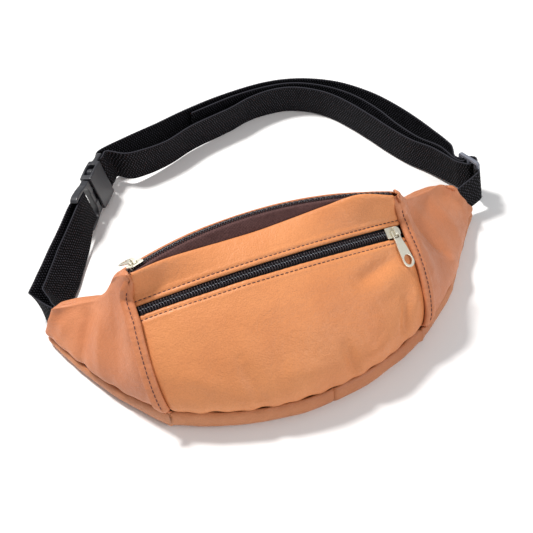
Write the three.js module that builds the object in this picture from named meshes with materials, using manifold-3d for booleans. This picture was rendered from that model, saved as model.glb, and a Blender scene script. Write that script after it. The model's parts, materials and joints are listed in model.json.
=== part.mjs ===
// Waist pack: a stuffed leather pouch with two coil zips, standing on its gusset,
// with its webbing belt standing on edge in a loop behind it.
// Millimetres, +Z up, +X along the pouch towards the strap adjuster, +Y to the back.
// The origin is on the flat base, midway between the two side seams.
import * as THREE from "three";
import { mergeVertices } from "three/addons/utils/BufferGeometryUtils.js";
import Module from "manifold-3d";

const wasm = await Module();
wasm.setup();

// ---- driving dimensions ----
const LEATHER = 1.6; // wall thickness
const GAP = 0.6; // clearance between two sewn pieces
const SEAM_X = 101; // half the length of the top zip opening
const SEAM_GAP = 3; // slot between centre panels and wings, under the welt
const BASE_BACK_Y = 50; // back edge of the base at mid-length
const WEB_W = 30; // belt webbing width
const WEB_T = 1.3; // belt webbing thickness
const WEB_STEP = 11; // longest step along the webbing
const LIP = 5; // half-width of the leather window round a zip
const TAPE_TO_FACE = 2.2; // zip tape middle to the leather's outer face
const SLIDER_ANGLE_FRONT = 12.6; // degrees from the front zip's middle, towards +X
const SLIDER_ANGLE_MAIN = -16.9; // degrees from the main zip's middle
const FOLD_A = 5.2; // from the main zip's middle up to the fold of its front tape

// ---- materials ----
function material(color, roughness, metalness = 0) {
  return new THREE.MeshStandardMaterial({ color, roughness, metalness });
}
const TAN = material(0xe4965f, 0.55);
const TAPE_BLACK = material(0x141215, 0.9);
const TAPE_BROWN = material(0x583e3c, 0.9);
const COIL = material(0x18151a, 0.5);
const NICKEL = material(0xd8d2c4, 0.3, 1);
const WEBBING = material(0x0c0c0e, 0.85);
const PLASTIC = material(0x3c3e42, 0.5);
const LINING = material(0x2a2524, 0.9);

const group = new THREE.Group();
group.name = "waist_pack";

function add(name, geometry, mat) {
  const mesh = new THREE.Mesh(geometry, mat);
  mesh.name = name;
  group.add(mesh);
  return mesh;
}

// ---- small vector helpers ----
const V = (x, y, z) => new THREE.Vector3(x, y, z);
const UP = V(0, 0, 1);
const EAST = V(1, 0, 0);
const mix = (a, b, t) => a.clone().lerp(b, t);
const along = (p, ...terms) => terms.reduce((q, [v, k]) => q.addScaledVector(v, k), p.clone());
const radians = THREE.MathUtils.degToRad;

// A closed geometry from vertices and triangles, turned to face outwards.
function closedGeometry(points, triangles) {
  let volume = 0;
  for (const [a, b, c] of triangles) {
    volume += points[a].dot(points[b].clone().cross(points[c]));
  }
  const index = triangles.flatMap(([a, b, c]) => (volume > 0 ? [a, b, c] : [a, c, b]));
  const geometry = new THREE.BufferGeometry();
  geometry.setAttribute(
    "position",
    new THREE.Float32BufferAttribute(points.flatMap((p) => [p.x, p.y, p.z]), 3),
  );
  geometry.setIndex(index);
  geometry.computeVertexNormals();
  return geometry;
}

// A wall between two grids of the same size: outer[i][j] and inner[i][j].
function gridShell(outer, inner) {
  const rows = outer.length;
  const cols = outer[0].length;
  const points = [...outer.flat(), ...inner.flat()];
  const id = (layer, i, j) => layer * rows * cols + i * cols + j;
  const triangles = [];
  const quad = (a, b, c, d) => triangles.push([a, b, c], [a, c, d]);
  for (let i = 0; i < rows - 1; i++) {
    for (let j = 0; j < cols - 1; j++) {
      quad(id(0, i, j), id(0, i + 1, j), id(0, i + 1, j + 1), id(0, i, j + 1));
      quad(id(1, i, j), id(1, i, j + 1), id(1, i + 1, j + 1), id(1, i + 1, j));
    }
  }
  for (let i = 0; i < rows - 1; i++) {
    quad(id(0, i + 1, 0), id(0, i, 0), id(1, i, 0), id(1, i + 1, 0));
    quad(id(0, i, cols - 1), id(0, i + 1, cols - 1), id(1, i + 1, cols - 1), id(1, i, cols - 1));
  }
  for (let j = 0; j < cols - 1; j++) {
    quad(id(0, 0, j), id(0, 0, j + 1), id(1, 0, j + 1), id(1, 0, j));
    quad(id(0, rows - 1, j + 1), id(0, rows - 1, j), id(1, rows - 1, j), id(1, rows - 1, j + 1));
  }
  return closedGeometry(points, triangles);
}

// A solid through closed rings of the same count, with flat ends.
function loft(rings) {
  const count = rings[0].length;
  const points = rings.flat();
  const triangles = [];
  for (let i = 0; i < rings.length - 1; i++) {
    for (let j = 0; j < count; j++) {
      const a = i * count + j;
      const b = i * count + ((j + 1) % count);
      triangles.push([a, b, b + count], [a, b + count, a + count]);
    }
  }
  const last = (rings.length - 1) * count;
  for (let j = 1; j < count - 1; j++) {
    triangles.push([0, j + 1, j], [last, last + j, last + j + 1]);
  }
  return closedGeometry(points, triangles);
}

// ---- booleans ----
function toManifold(geometry) {
  const bare = geometry.clone();
  for (const name of Object.keys(bare.attributes)) {
    if (name !== "position") bare.deleteAttribute(name);
  }
  const merged = withoutSlivers(mergeVertices(bare, 1e-4));
  return new wasm.Manifold(
    new wasm.Mesh({
      numProp: 3,
      vertProperties: new Float32Array(merged.attributes.position.array),
      triVerts: new Uint32Array(merged.index.array),
    }),
  );
}
// Drops triangles that merging has reduced to a line.
function withoutSlivers(geometry) {
  const index = geometry.index.array;
  const kept = [];
  for (let i = 0; i < index.length; i += 3) {
    const [a, b, c] = index.slice(i, i + 3);
    if (a !== b && b !== c && c !== a) kept.push(a, b, c);
  }
  geometry.setIndex(kept);
  return geometry;
}
function fromManifold(solid) {
  const mesh = solid.getMesh();
  const geometry = new THREE.BufferGeometry();
  geometry.setAttribute("position", new THREE.BufferAttribute(mesh.vertProperties, 3));
  geometry.setIndex(new THREE.BufferAttribute(mesh.triVerts, 1));
  geometry.computeVertexNormals();
  return geometry;
}
function boxSolid([x0, x1], [y0, y1], [z0, z1]) {
  const geometry = new THREE.BoxGeometry(x1 - x0, y1 - y0, z1 - z0);
  geometry.translate((x0 + x1) / 2, (y0 + y1) / 2, (z0 + z1) / 2);
  return toManifold(geometry);
}
function plateSolid(shape, z0, z1, curveSegments = 5) {
  const geometry = new THREE.ExtrudeGeometry(shape, {
    depth: z1 - z0,
    bevelEnabled: false,
    curveSegments,
  });
  geometry.translate(0, 0, z0);
  return toManifold(geometry);
}
const union = (solids) => solids.reduce((a, b) => a.add(b));
const cut = (solid, cutters) => cutters.reduce((a, b) => a.subtract(b), solid);

function roundedRect(x0, x1, y0, y1, r) {
  const s = new THREE.Shape();
  s.moveTo(x0 + r, y0);
  s.lineTo(x1 - r, y0);
  s.absarc(x1 - r, y0 + r, r, -Math.PI / 2, 0);
  s.lineTo(x1, y1 - r);
  s.absarc(x1 - r, y1 - r, r, 0, Math.PI / 2);
  s.lineTo(x0 + r, y1);
  s.absarc(x0 + r, y1 - r, r, Math.PI / 2, Math.PI);
  s.lineTo(x0, y0 + r);
  s.absarc(x0 + r, y0 + r, r, Math.PI, 1.5 * Math.PI);
  return s;
}

// ---- zip lines ----
// Each zip follows a circular arc, so its slider travels by turning about the arc's axis.
// tilt turns the tape about its own line: at 0 it lies flat in the arc's plane, at 90 it wraps
// round the arc's axis. across runs over the tape, height away from it on the coil's side.
class ZipLine {
  constructor({ end, middle, tilt }) {
    const rise = middle.clone().sub(V(0, end.y, end.z));
    const sagitta = rise.length();
    this.radial = rise.normalize();
    this.axis = EAST.clone().cross(this.radial);
    this.R = (end.x ** 2 + sagitta ** 2) / (2 * sagitta);
    this.centre = along(middle, [this.radial, -this.R]);
    this.cos = Math.cos(radians(tilt));
    this.sin = Math.sin(radians(tilt));
  }
  out(theta) {
    return along(V(0, 0, 0), [EAST, Math.sin(theta)], [this.radial, Math.cos(theta)]);
  }
  across(theta) {
    return along(V(0, 0, 0), [this.out(theta), this.cos], [this.axis, -this.sin]);
  }
  away(theta) {
    return along(V(0, 0, 0), [this.out(theta), this.sin], [this.axis, this.cos]);
  }
  point(theta, across, height) {
    const middle = along(this.centre, [this.out(theta), this.R]);
    return along(middle, [this.across(theta), across], [this.away(theta), height]);
  }
  angleAt(x) {
    return Math.asin(x / this.R);
  }
  // Basis for a slider at theta: x along the travel, y across, z away from the tape.
  frame(theta) {
    const [across, away] = [this.across(theta), this.away(theta)];
    const m = new THREE.Matrix4().makeBasis(across.clone().cross(away), across, away);
    return m.setPosition(this.point(theta, 0, 0));
  }
}
const frontZip = new ZipLine({ end: V(SEAM_X, 38, 75), middle: V(0, 33, 86), tilt: 90 });
const mainZip = new ZipLine({ end: V(SEAM_X, 56.5, 96), middle: V(0, 72, 100.2), tilt: 52 });

// How far the front panel's top edge lies below the fold of the main zip's front tape, at even
// steps from the left end to the right: the brown tape shows over the edge in the middle, and the
// leather rises past the coil towards the right.
const EDGE_DROPS = [-0.5, 2.4, 6.4, 9, 9.4, 7, 2.6, -3.2, -1];
const line = (...points) => new THREE.CatmullRomCurve3(points, false, "centripetal");
const edgeDropLine = line(
  ...EDGE_DROPS.map((drop, k) => V(SEAM_X * ((2 * k) / (EDGE_DROPS.length - 1) - 1), drop, 0)),
);
const edgeDrop = (f) => edgeDropLine.getPoint(THREE.MathUtils.clamp((f + 1) / 2, 0, 1)).y;

// ---- the pouch's cross-section ----
// Ring of 25 points per station, from the back panel's top lip round the base to the front's top.
const J_LIP = 0;
const J_BACK_TOP = 1;
const J_BACK_BASE = 7;
const J_FRONT_BASE = 11;
const J_ZIP_LOW = 19;
const J_ZIP_HIGH = 20;
const J_FRONT_TOP = 24;

function bezier(p0, p1, p2, p3, count) {
  const curve = new THREE.CubicBezierCurve3(p0, p1, p2, p3);
  return Array.from({ length: count + 1 }, (_, k) => curve.getPoint(k / count));
}

// The gusset rolls down from its front seam to the flat base.
function gussetPoints(back, front) {
  const out = front.clone().sub(back).setZ(0).normalize();
  const drop = front.z - back.z;
  const at = (push, share) => along(front, [out, push * drop]).setZ(back.z + share * drop);
  return [at(-0.5, 0), at(-0.06, 0.12), at(0.14, 0.5)];
}

// Station at the share f (-1..1) of the way from the middle to a side seam.
function centreRing(f) {
  const ff = f * f;
  const bow = (x) => f * x;
  const mainTheta = mainZip.angleAt(bow(SEAM_X));
  const frontTheta = frontZip.angleAt(bow(SEAM_X + 2));
  const lipIn = mainZip.point(mainTheta, 4.9, 3);
  const lipOut = mainZip.point(mainTheta, 7.6, 2.6);
  const drop = edgeDrop(f);
  const top = mainZip.point(mainTheta, -FOLD_A - 2.6 + 0.5 * Math.min(drop, 0), -drop);
  const backBase = V(bow(93), BASE_BACK_Y - 2 * ff, 0);
  const frontBase = V(bow(98), -40 + 25 * ff, 19);
  const back = bezier(
    lipOut,
    along(lipOut, [V(0, 0.34, -0.94), 30 - 6 * ff]),
    along(backBase, [V(0, 0.5, 0.86), 42 - 12 * ff]),
    backBase,
    J_BACK_BASE - J_BACK_TOP,
  );
  const zipPoint = (across) => frontZip.point(frontTheta, across, TAPE_TO_FACE);
  const rising = frontZip.across(frontTheta);
  const belly = bezier(
    zipPoint(-8),
    along(zipPoint(-8), [rising, 10 * ff - 26], [EAST, 2 * f]),
    along(frontBase, [V(0, -0.24, 0.97), 25 - 9 * ff], [EAST, 9 * f]),
    frontBase,
    J_ZIP_LOW - 1 - J_FRONT_BASE,
  ).reverse();
  const upper = bezier(
    zipPoint(8),
    along(zipPoint(8), [rising, 6]),
    along(top, [V(0, -0.93, -0.3), 7 - 4 * ff], [UP, -3 * ff]),
    top,
    J_FRONT_TOP - J_ZIP_HIGH - 1,
  );
  return [lipIn, ...back, ...gussetPoints(backBase, frontBase), ...belly,
    zipPoint(-LIP), zipPoint(LIP), ...upper];
}

// Wing edge lines from the side seam (0) to the strap mouth (1).
const SEAM_OUT = SEAM_X + SEAM_GAP;
const WINGS = {
  left: {
    side: -1,
    front: line(V(-SEAM_OUT, 52.5, 101), V(-113, 56, 97), V(-115, 61, 80), V(-119, 67, 66),
      V(-128.5, 79, 50.5), V(-140, 87, 41.5), V(-157, 93, 37)),
    ridge: line(V(-SEAM_OUT, 59, 99), V(-111, 60.5, 91.8), V(-114, 67, 77.6), V(-118.2, 72.5, 63),
      V(-127, 83.5, 47.5), V(-138.5, 91, 40.5), V(-154.5, 95.5, 37.2)),
    back: line(V(-SEAM_OUT, 63.5, 93), V(-109.5, 66, 86), V(-112, 73, 70), V(-116.5, 79, 55),
      V(-124.5, 90, 43), V(-135.5, 96, 38.5), V(-150, 98.5, 36)),
    base: line(V(-SEAM_OUT + 8, 49, 0), V(-120, 68, 0), V(-143, 88, 0.5), V(-155, 98, 2)),
    seam: line(V(-SEAM_OUT + 3, -13, 18.5), V(-128, 20, 14), V(-150, 58, 11), V(-165, 93, 9)),
    tipOut: V(-1, -0.05, 0),
  },
  right: {
    side: 1,
    front: line(V(SEAM_OUT, 52.5, 101), V(112, 56.5, 95.5), V(117, 60.5, 83), V(125, 68, 72),
      V(151, 84, 55), V(172, 95, 45), V(186, 92, 39)),
    ridge: line(V(SEAM_OUT, 59, 99), V(110, 61, 91.5), V(115, 65.5, 80), V(124, 73, 69.5),
      V(150, 87.5, 52.5), V(170.5, 98, 42.5), V(183.5, 95.5, 38.8)),
    back: line(V(SEAM_OUT, 63.5, 93), V(108.5, 67, 85), V(113.5, 72.5, 73), V(122, 79.5, 62.5),
      V(147, 94, 48), V(167, 102.5, 39.5), V(180, 99, 36.5)),
    base: line(V(SEAM_OUT - 8, 49, 0), V(128, 64, 0), V(160, 82, 0.5), V(182, 92, 1), V(197, 96, 2)),
    seam: line(V(SEAM_OUT - 3, -13, 18.5), V(128, 4, 16), V(151, 26, 12), V(179, 60, 10), V(204, 88, 9)),
    tipOut: V(0.77, -0.64, 0),
  },
};

function wingRing(wing, s) {
  const at = (curve) => curve.getPointAt(s);
  const out = mix(V(0, -1, 0), wing.tipOut, s).normalize();
  const fade = 1 - s;
  const [front, ridge, back] = [at(wing.front), at(wing.ridge), at(wing.back)];
  const [base, seam] = [at(wing.base), at(wing.seam)];
  const height = front.z - seam.z;
  const backWall = bezier(
    back,
    along(back, [out, -2 - 6 * fade], [UP, -0.3 * height]),
    along(base, [out, -2 - 16 * fade], [UP, 0.35 * height]),
    base,
    J_BACK_BASE - J_BACK_TOP,
  );
  const sideways = V(wing.side, 0, 0);
  const ownWall = bezier(
    seam,
    along(seam, [out, 2 + 3 * fade], [UP, 0.3 * height], [sideways, 8 * fade]),
    along(front, [out, 3 + 6.5 * fade], [UP, -0.3 * height], [sideways, fade]),
    front,
    J_FRONT_TOP - J_FRONT_BASE,
  );
  // Beside the side seam the wall takes up the centre panels' section.
  const share = THREE.MathUtils.smoothstep(s, 0, 0.4);
  const centreWall = centreRing(wing.side).slice(J_FRONT_BASE);
  const frontWall = centreWall.map((p, k) => mix(along(p, [sideways, SEAM_GAP]), ownWall[k], share));
  return [ridge, ...backWall, ...gussetPoints(base, frontWall[0]), ...frontWall];
}

const WING_STEPS = [0, 0.07, 0.16, 0.28, 0.42, 0.58, 0.74, 0.88, 1];
const CENTRE_STEPS = 12;
const leftRings = WING_STEPS.map((s) => wingRing(WINGS.left, s)).reverse();
const rightRings = WING_STEPS.map((s) => wingRing(WINGS.right, s));
const centreRings = Array.from({ length: CENTRE_STEPS + 1 }, (_, k) =>
  centreRing(-1 + (2 * k) / CENTRE_STEPS),
);
const rings = [...leftRings, ...centreRings, ...rightRings];
const FIRST_CENTRE = leftRings.length;
const LAST_CENTRE = FIRST_CENTRE + CENTRE_STEPS;
const LAST = rings.length - 1;

// Mitred inward direction at every ring point: moving by t along it insets both walls by t.
function insetDirections() {
  return rings.map((ring, i) => {
    const next = rings[Math.min(i + 1, LAST)];
    const before = rings[Math.max(i - 1, 0)];
    const n = ring.length;
    const wallNormals = ring.map((p, j) => {
      const k = (j + 1) % n;
      const spine = along(next[j], [before[j], -1], [next[k], 1], [before[k], -1]);
      return spine.cross(ring[k].clone().sub(p)).normalize();
    });
    return ring.map((_, j) => {
      const a = wallNormals[(j + n - 1) % n];
      const b = wallNormals[j];
      return a.clone().add(b).divideScalar(-(1 + Math.max(a.dot(b), -0.3)));
    });
  });
}
const inward = insetDirections();

// The part of the pouch's wall over stations i0..i1 and ring points j0..j1, between two depths.
function panel([i0, i1], [j0, j1], depth0 = 0, depth1 = LEATHER) {
  const count = rings[0].length;
  const layer = (depth) => {
    const grid = [];
    for (let i = i0; i <= i1; i++) {
      const row = [];
      for (let j = j0; j <= j1; j++) {
        const k = j % count;
        row.push(along(rings[i][k], [inward[i][k], depth]));
      }
      // Draw both edges back along the wall, which leaves room for the neighbour.
      const pull = (a, b) => row[a].add(row[b].clone().sub(row[a]).setLength(GAP / 2));
      pull(0, 1);
      pull(row.length - 1, row.length - 2);
      grid.push(row);
    }
    const pullRow = (a, b) =>
      grid[a].forEach((q, j) => q.add(grid[b][j].clone().sub(q).setLength(GAP / 2)));
    pullRow(0, 1);
    pullRow(grid.length - 1, grid.length - 2);
    return grid;
  };
  return gridShell(layer(depth0), layer(depth1));
}

function buildPanels() {
  const centre = [FIRST_CENTRE, LAST_CENTRE];
  const notch = FIRST_CENTRE + Math.round(CENTRE_STEPS * 0.55);
  const leftWing = [0, FIRST_CENTRE - 1];
  const rightWing = [LAST_CENTRE + 1, LAST];
  add("back_panel", panel([0, LAST], [J_LIP, J_BACK_BASE]), TAN);
  add("front_panel_lower", panel(centre, [J_FRONT_BASE, J_ZIP_LOW]), TAN);
  add("front_panel_upper", panel(centre, [J_ZIP_HIGH, J_FRONT_TOP]), TAN);
  add("wing_left", panel(leftWing, [J_FRONT_BASE, J_FRONT_TOP + 1]), TAN);
  add("wing_right", panel(rightWing, [J_FRONT_BASE, J_FRONT_TOP + 1]), TAN);
  add("gusset_left", panel([0, notch], [J_BACK_BASE, J_FRONT_BASE]), TAN);
  add("gusset_right", panel([notch, LAST], [J_BACK_BASE, J_FRONT_BASE]), TAN);
  add("pocket_lining", panel([FIRST_CENTRE, LAST_CENTRE], [J_FRONT_BASE + 1, J_FRONT_TOP - 2], 7.4, 8), LINING);
}

// Rolled leather welt along a side seam.
function seamWelt(name, inner, outer, side) {
  const profile = [[-2.6, 2.3], [-2, 3.6], [0, 4.3], [1.9, 3.6], [2.4, 2.5]];
  const sections = [];
  for (let j = J_FRONT_BASE; j <= J_FRONT_TOP; j++) {
    const middle = mix(rings[inner][j], rings[outer][j], 0.5);
    const normal = along(inward[inner][j], [inward[outer][j], 1]).normalize().negate();
    const across = rings[outer][j].clone().sub(rings[inner][j]).normalize();
    sections.push(profile.map(([a, h]) => along(middle, [across, a * side], [normal, h])));
  }
  add(name, loft(sections), TAN);
}

buildPanels();
seamWelt("seam_welt_left", FIRST_CENTRE, FIRST_CENTRE - 1, 1);
seamWelt("seam_welt_right", LAST_CENTRE, LAST_CENTRE + 1, 1);


// ---- zips ----
const CHAIN_HALF = 2.8; // half-width of the closed chain
const CHAIN_SPLIT = 0.75; // half the slot in which the slider's web runs
const PULL_AXIS = 5.3; // height of the puller's cross bar above the tape
const SLIDER_HALF = 6.2; // half-length of a slider
const SLIDER_WIDE = 4.4; // half-width of its plates

// Solid swept along a zip line; profileAt(theta) lists [across, height] corners.
function zipSweep(zip, theta0, theta1, profileAt, steps) {
  return loft(
    Array.from({ length: steps + 1 }, (_, k) => {
      const theta = theta0 + ((theta1 - theta0) * k) / steps;
      return profileAt(theta).map(([across, height]) => zip.point(theta, across, height));
    }),
  );
}
const strip = (a0, a1, h0, h1) => [[a0, h0], [a1, h0], [a1, h1], [a0, h1]];

// The square tail lies over the closed chain and the round crown over the end that opens.
function sliderBody() {
  const outline = new THREE.Shape();
  outline.moveTo(-SLIDER_HALF, 0.8 - SLIDER_WIDE);
  outline.quadraticCurveTo(-SLIDER_HALF, 0.2 - SLIDER_WIDE, 1.1 - SLIDER_HALF, 0.2 - SLIDER_WIDE);
  outline.lineTo(2.4, -SLIDER_WIDE);
  outline.quadraticCurveTo(SLIDER_HALF, 0.3 - SLIDER_WIDE, SLIDER_HALF, 0);
  outline.quadraticCurveTo(SLIDER_HALF, SLIDER_WIDE - 0.3, 2.4, SLIDER_WIDE);
  outline.lineTo(1.1 - SLIDER_HALF, SLIDER_WIDE - 0.2);
  outline.quadraticCurveTo(-SLIDER_HALF, SLIDER_WIDE - 0.2, -SLIDER_HALF, SLIDER_WIDE - 0.8);
  outline.closePath();
  return union([
    plateSolid(outline, 2.8, 3.9, 4),
    plateSolid(outline, -1.9, -0.8, 4),
    boxSolid([1.8, 5.4], [-0.35, 0.35], [-1.2, 3.2]),
  ]);
}

// Arch over the puller's cross bar, its feet on the slider's top plate.
function sliderBridge() {
  const foot = 3.4;
  const arch = new THREE.Shape();
  arch.moveTo(-foot, 4.2);
  arch.lineTo(-foot, 6.6);
  arch.quadraticCurveTo(-foot, 7.9, -2, 7.9);
  arch.lineTo(2, 7.9);
  arch.quadraticCurveTo(foot, 7.9, foot, 6.6);
  arch.lineTo(foot, 4.2);
  arch.lineTo(2.4, 4.2);
  arch.lineTo(2.4, 6.2);
  arch.quadraticCurveTo(2.3, 6.7, 1.8, 6.7);
  arch.lineTo(-1.8, 6.7);
  arch.quadraticCurveTo(-2.3, 6.7, -2.4, 6.2);
  arch.lineTo(-2.4, 4.2);
  arch.closePath();
  const geometry = new THREE.ExtrudeGeometry(arch, {
    depth: 2.2,
    bevelEnabled: false,
    curveSegments: 4,
  });
  // The shape's own x is across the zip and its own y is height.
  const turn = new THREE.Matrix4().makeBasis(V(0, 1, 0), V(0, 0, 1), V(1, 0, 0));
  geometry.applyMatrix4(turn.setPosition(-1.1, 0, 0));
  return geometry;
}

// Puller with its cross bar on the x axis, hanging along -y.
function pullerPlate() {
  const length = 29;
  const outline = new THREE.Shape();
  outline.moveTo(-3.1, 0.6);
  outline.lineTo(3.1, 0.6);
  outline.lineTo(3.1, -5.5);
  outline.quadraticCurveTo(3.1, -8, 3.9, -12);
  outline.lineTo(4.8, 4.8 - length);
  outline.absarc(0, 4.8 - length, 4.8, 0, -Math.PI, true);
  outline.lineTo(-3.9, -12);
  outline.quadraticCurveTo(-3.1, -8, -3.1, -5.5);
  outline.closePath();
  const slot = new THREE.Path();
  slot.moveTo(-2, -0.6);
  slot.lineTo(-2, -5.2);
  slot.lineTo(2, -5.2);
  slot.lineTo(2, -0.6);
  const eyePoints = Array.from({ length: 16 }, (_, k) => {
    const turn = (k * Math.PI) / 8;
    return new THREE.Vector2(3.3 * Math.cos(turn), 5.9 - length + 4 * Math.sin(turn));
  });
  outline.holes.push(slot, new THREE.Path(eyePoints));
  return plateSolid(outline, -0.6, 0.6, 8);
}

function placed(solidOrGeometry, matrix) {
  const geometry = solidOrGeometry.isBufferGeometry
    ? solidOrGeometry
    : fromManifold(solidOrGeometry);
  return geometry.clone().applyMatrix4(matrix);
}

// ends: zip angles at both ends; park: the slider's angle at rest; yaw and lean: the puller's turn
// in the slider's plane and then about its cross bar; face: 1 where the crown points to +X.
function buildZip(prefix, zip, { ends, park, yaw, lean, face, tapeColor, tapes }) {
  const steps = 14;
  const [from, to] = ends;
  for (const [label, side] of [["low", -1], ["high", 1]]) {
    const inner = side * CHAIN_SPLIT;
    add(`${prefix}_tape_${label}`, zipSweep(zip, from, to, tapes[label], steps * 2), tapeColor);
    add(
      `${prefix}_coil_${label}`,
      zipSweep(zip, from, to, () => strip(inner, side * CHAIN_HALF, 0.6, 2.4), steps * 2),
      COIL,
    );
  }
  const frame = zip.frame(park);
  if (face < 0) frame.multiply(new THREE.Matrix4().makeRotationZ(Math.PI));
  add(`${prefix}_slider`, placed(sliderBody(), frame), NICKEL);
  add(`${prefix}_slider_bridge`, placed(sliderBridge(), frame), NICKEL);
  const hang = zip
    .frame(park)
    .multiply(new THREE.Matrix4().makeTranslation(0, 0, PULL_AXIS))
    .multiply(new THREE.Matrix4().makeRotationZ(radians(yaw)))
    .multiply(new THREE.Matrix4().makeRotationX(radians(lean)));
  add(`${prefix}_puller`, placed(pullerPlate(), hang), NICKEL);
}

const flatTape = (inner, outer) => () => strip(inner, outer, -0.3, 0.3);
// The main zip's front tape folds down over its edge and runs in behind the front panel's edge.
function foldedTape(theta) {
  const f = (Math.sin(theta) * mainZip.R) / SEAM_X;
  const hem = -Math.max(1, (edgeDrop(f) + 3) * (1 - 0.5 * f ** 4));
  const fold = 0.6 - FOLD_A;
  return [[fold, -0.3], [fold, hem], [-FOLD_A, hem], [-FOLD_A, -0.1], [0.4 - FOLD_A, 0.3],
    [-CHAIN_SPLIT, 0.3], [-CHAIN_SPLIT, -0.3]];
}
buildZip("front_zip", frontZip, {
  ends: [frontZip.angleAt(-SEAM_X), frontZip.angleAt(SEAM_X)],
  park: radians(SLIDER_ANGLE_FRONT),
  yaw: 10,
  lean: 7,
  face: 1,
  tapeColor: TAPE_BLACK,
  tapes: { low: flatTape(-CHAIN_SPLIT, -7.6), high: flatTape(CHAIN_SPLIT, 7.6) },
});
buildZip("main_zip", mainZip, {
  ends: [mainZip.angleAt(-SEAM_X), mainZip.angleAt(SEAM_X)],
  park: radians(SLIDER_ANGLE_MAIN),
  yaw: 0,
  lean: 171,
  face: -1,
  tapeColor: TAPE_BROWN,
  tapes: { low: foldedTape, high: flatTape(CHAIN_SPLIT, 7.5) },
});

// ---- webbing ----
// A stretch of webbing on edge. Each station is [x, y, z, tx, ty]: a point on its bottom edge
// and how far its top edge leans over in x and y.
function webbing(stations) {
  const path = new THREE.CatmullRomCurve3(
    stations.map(([x, y, z]) => V(x, y, z)),
    false,
    "centripetal",
  );
  const section = (i, share) => {
    const u = (i + share) / (stations.length - 1);
    const next = Math.min(i + 1, stations.length - 1);
    const [tx, ty] = [3, 4].map((k) =>
      THREE.MathUtils.lerp(stations[i][k], stations[next][k], share),
    );
    const foot = path.getPoint(u);
    const width = V(tx, ty, Math.sqrt(WEB_W ** 2 - tx ** 2 - ty ** 2));
    const normal = path.getTangent(u).cross(width).normalize();
    const head = foot.clone().add(width);
    return [[foot, 1], [foot, -1], [head, -1], [head, 1]].map(([p, side]) =>
      along(p, [normal, (side * WEB_T) / 2]),
    );
  };
  const sections = [];
  for (let i = 0; i < stations.length - 1; i++) {
    const span = Math.hypot(
      stations[i + 1][0] - stations[i][0],
      stations[i + 1][1] - stations[i][1],
    );
    const steps = Math.max(2, Math.ceil(span / WEB_STEP));
    for (let k = 0; k < steps; k++) sections.push(section(i, k / steps));
  }
  sections.push(section(stations.length - 1, 0));
  return loft(sections);
}

// ---- side-release buckle ----
// Local frame: x along the belt from the male end, y through the thickness, z across the width.
const FITTING_HALF = 19; // half-width of the buckle and of the strap adjuster
const BUCKLE_LENGTH = 62;

// Frame of a fitting that stands on edge: heading of its length, lean of its top to the right,
// roll of its top forwards, all in degrees; foot is the lowest point under its origin.
function fittingFrame({ foot, heading, lean, roll }) {
  return new THREE.Matrix4()
    .makeTranslation(foot.x, foot.y, foot.z)
    .multiply(new THREE.Matrix4().makeRotationZ(radians(heading)))
    .multiply(new THREE.Matrix4().makeRotationY(radians(roll)))
    .multiply(new THREE.Matrix4().makeRotationX(radians(lean)))
    .multiply(new THREE.Matrix4().makeTranslation(0, 0, FITTING_HALF));
}
const buckleFrame = fittingFrame({ foot: V(-107, 190, 1.9), heading: 55, lean: -15, roll: 0 });

// A flat outline in the buckle's length and width, given a thickness about its middle plane.
function bucklePlate(shape, half, curveSegments = 5) {
  const geometry = new THREE.ExtrudeGeometry(shape, {
    depth: 2 * half,
    bevelEnabled: false,
    curveSegments,
  });
  const turn = new THREE.Matrix4().makeBasis(V(1, 0, 0), V(0, 0, 1), V(0, -1, 0));
  geometry.applyMatrix4(turn.setPosition(0, half, 0));
  return toManifold(geometry);
}
const mirrored = (shape) => {
  const points = shape.getPoints(5).map((p) => new THREE.Vector2(p.x, -p.y));
  return new THREE.Shape(points.reverse());
};

function maleFrame() {
  const petal = new THREE.Shape();
  petal.moveTo(0, 15.8);
  petal.quadraticCurveTo(0.5, 19, 6, 19);
  petal.quadraticCurveTo(14, 18.8, 21, 16.8);
  petal.lineTo(27, 16.6);
  petal.lineTo(27, 5);
  petal.lineTo(22, 5);
  petal.lineTo(21.6, 10.5);
  petal.quadraticCurveTo(20.5, 14.6, 17, 15.6);
  return union([
    bucklePlate(petal, 3.4),
    bucklePlate(mirrored(petal), 3.4),
    boxSolid([22, 27], [-2.6, 2.6], [-16.4, 16.4]),
    boxSolid([10.5, 14], [-1.6, 1.6], [-17, 17]),
    boxSolid([26, 47], [-1.6, 1.6], [-2.6, 2.6]),
  ]);
}
function springArm(side) {
  const arm = new THREE.Shape();
  arm.moveTo(27.5, 8.2);
  arm.quadraticCurveTo(33, 9.6, 35, 13.6);
  arm.quadraticCurveTo(36.2, 17.6, 38.6, 17.6);
  arm.quadraticCurveTo(42.6, 17.2, 44.6, 12.6);
  arm.lineTo(46, 10);
  arm.lineTo(43.4, 9.6);
  arm.quadraticCurveTo(37, 9.6, 33, 6.8);
  arm.lineTo(27.5, 5.4);
  arm.closePath();
  return bucklePlate(side > 0 ? arm : mirrored(arm), 2.5);
}
function femaleSocket() {
  const end = BUCKLE_LENGTH;
  const shell = new THREE.Shape();
  shell.moveTo(28, -17.4);
  shell.quadraticCurveTo(40, -19, 50, -17.6);
  shell.lineTo(end, -16.6);
  shell.lineTo(end, 16.6);
  shell.lineTo(50, 17.6);
  shell.quadraticCurveTo(40, 19, 28, 17.4);
  shell.closePath();
  const cavity = boxSolid([27, 49], [-3.2, 3.2], [-13.9, 13.9]);
  const window = boxSolid([33.2, 45.4], [-3.2, 3.2], [-30, 30]);
  const webSlot = boxSolid([52.4, 58.2], [-10, 10], [-15.4, 15.4]);
  const thinBack = [
    boxSolid([50.8, 70], [2.2, 10], [-30, 30]),
    boxSolid([50.8, 70], [-10, -2.2], [-30, 30]),
  ];
  return cut(bucklePlate(shell, 5.4), [cavity, window, webSlot, ...thinBack]);
}
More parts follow.
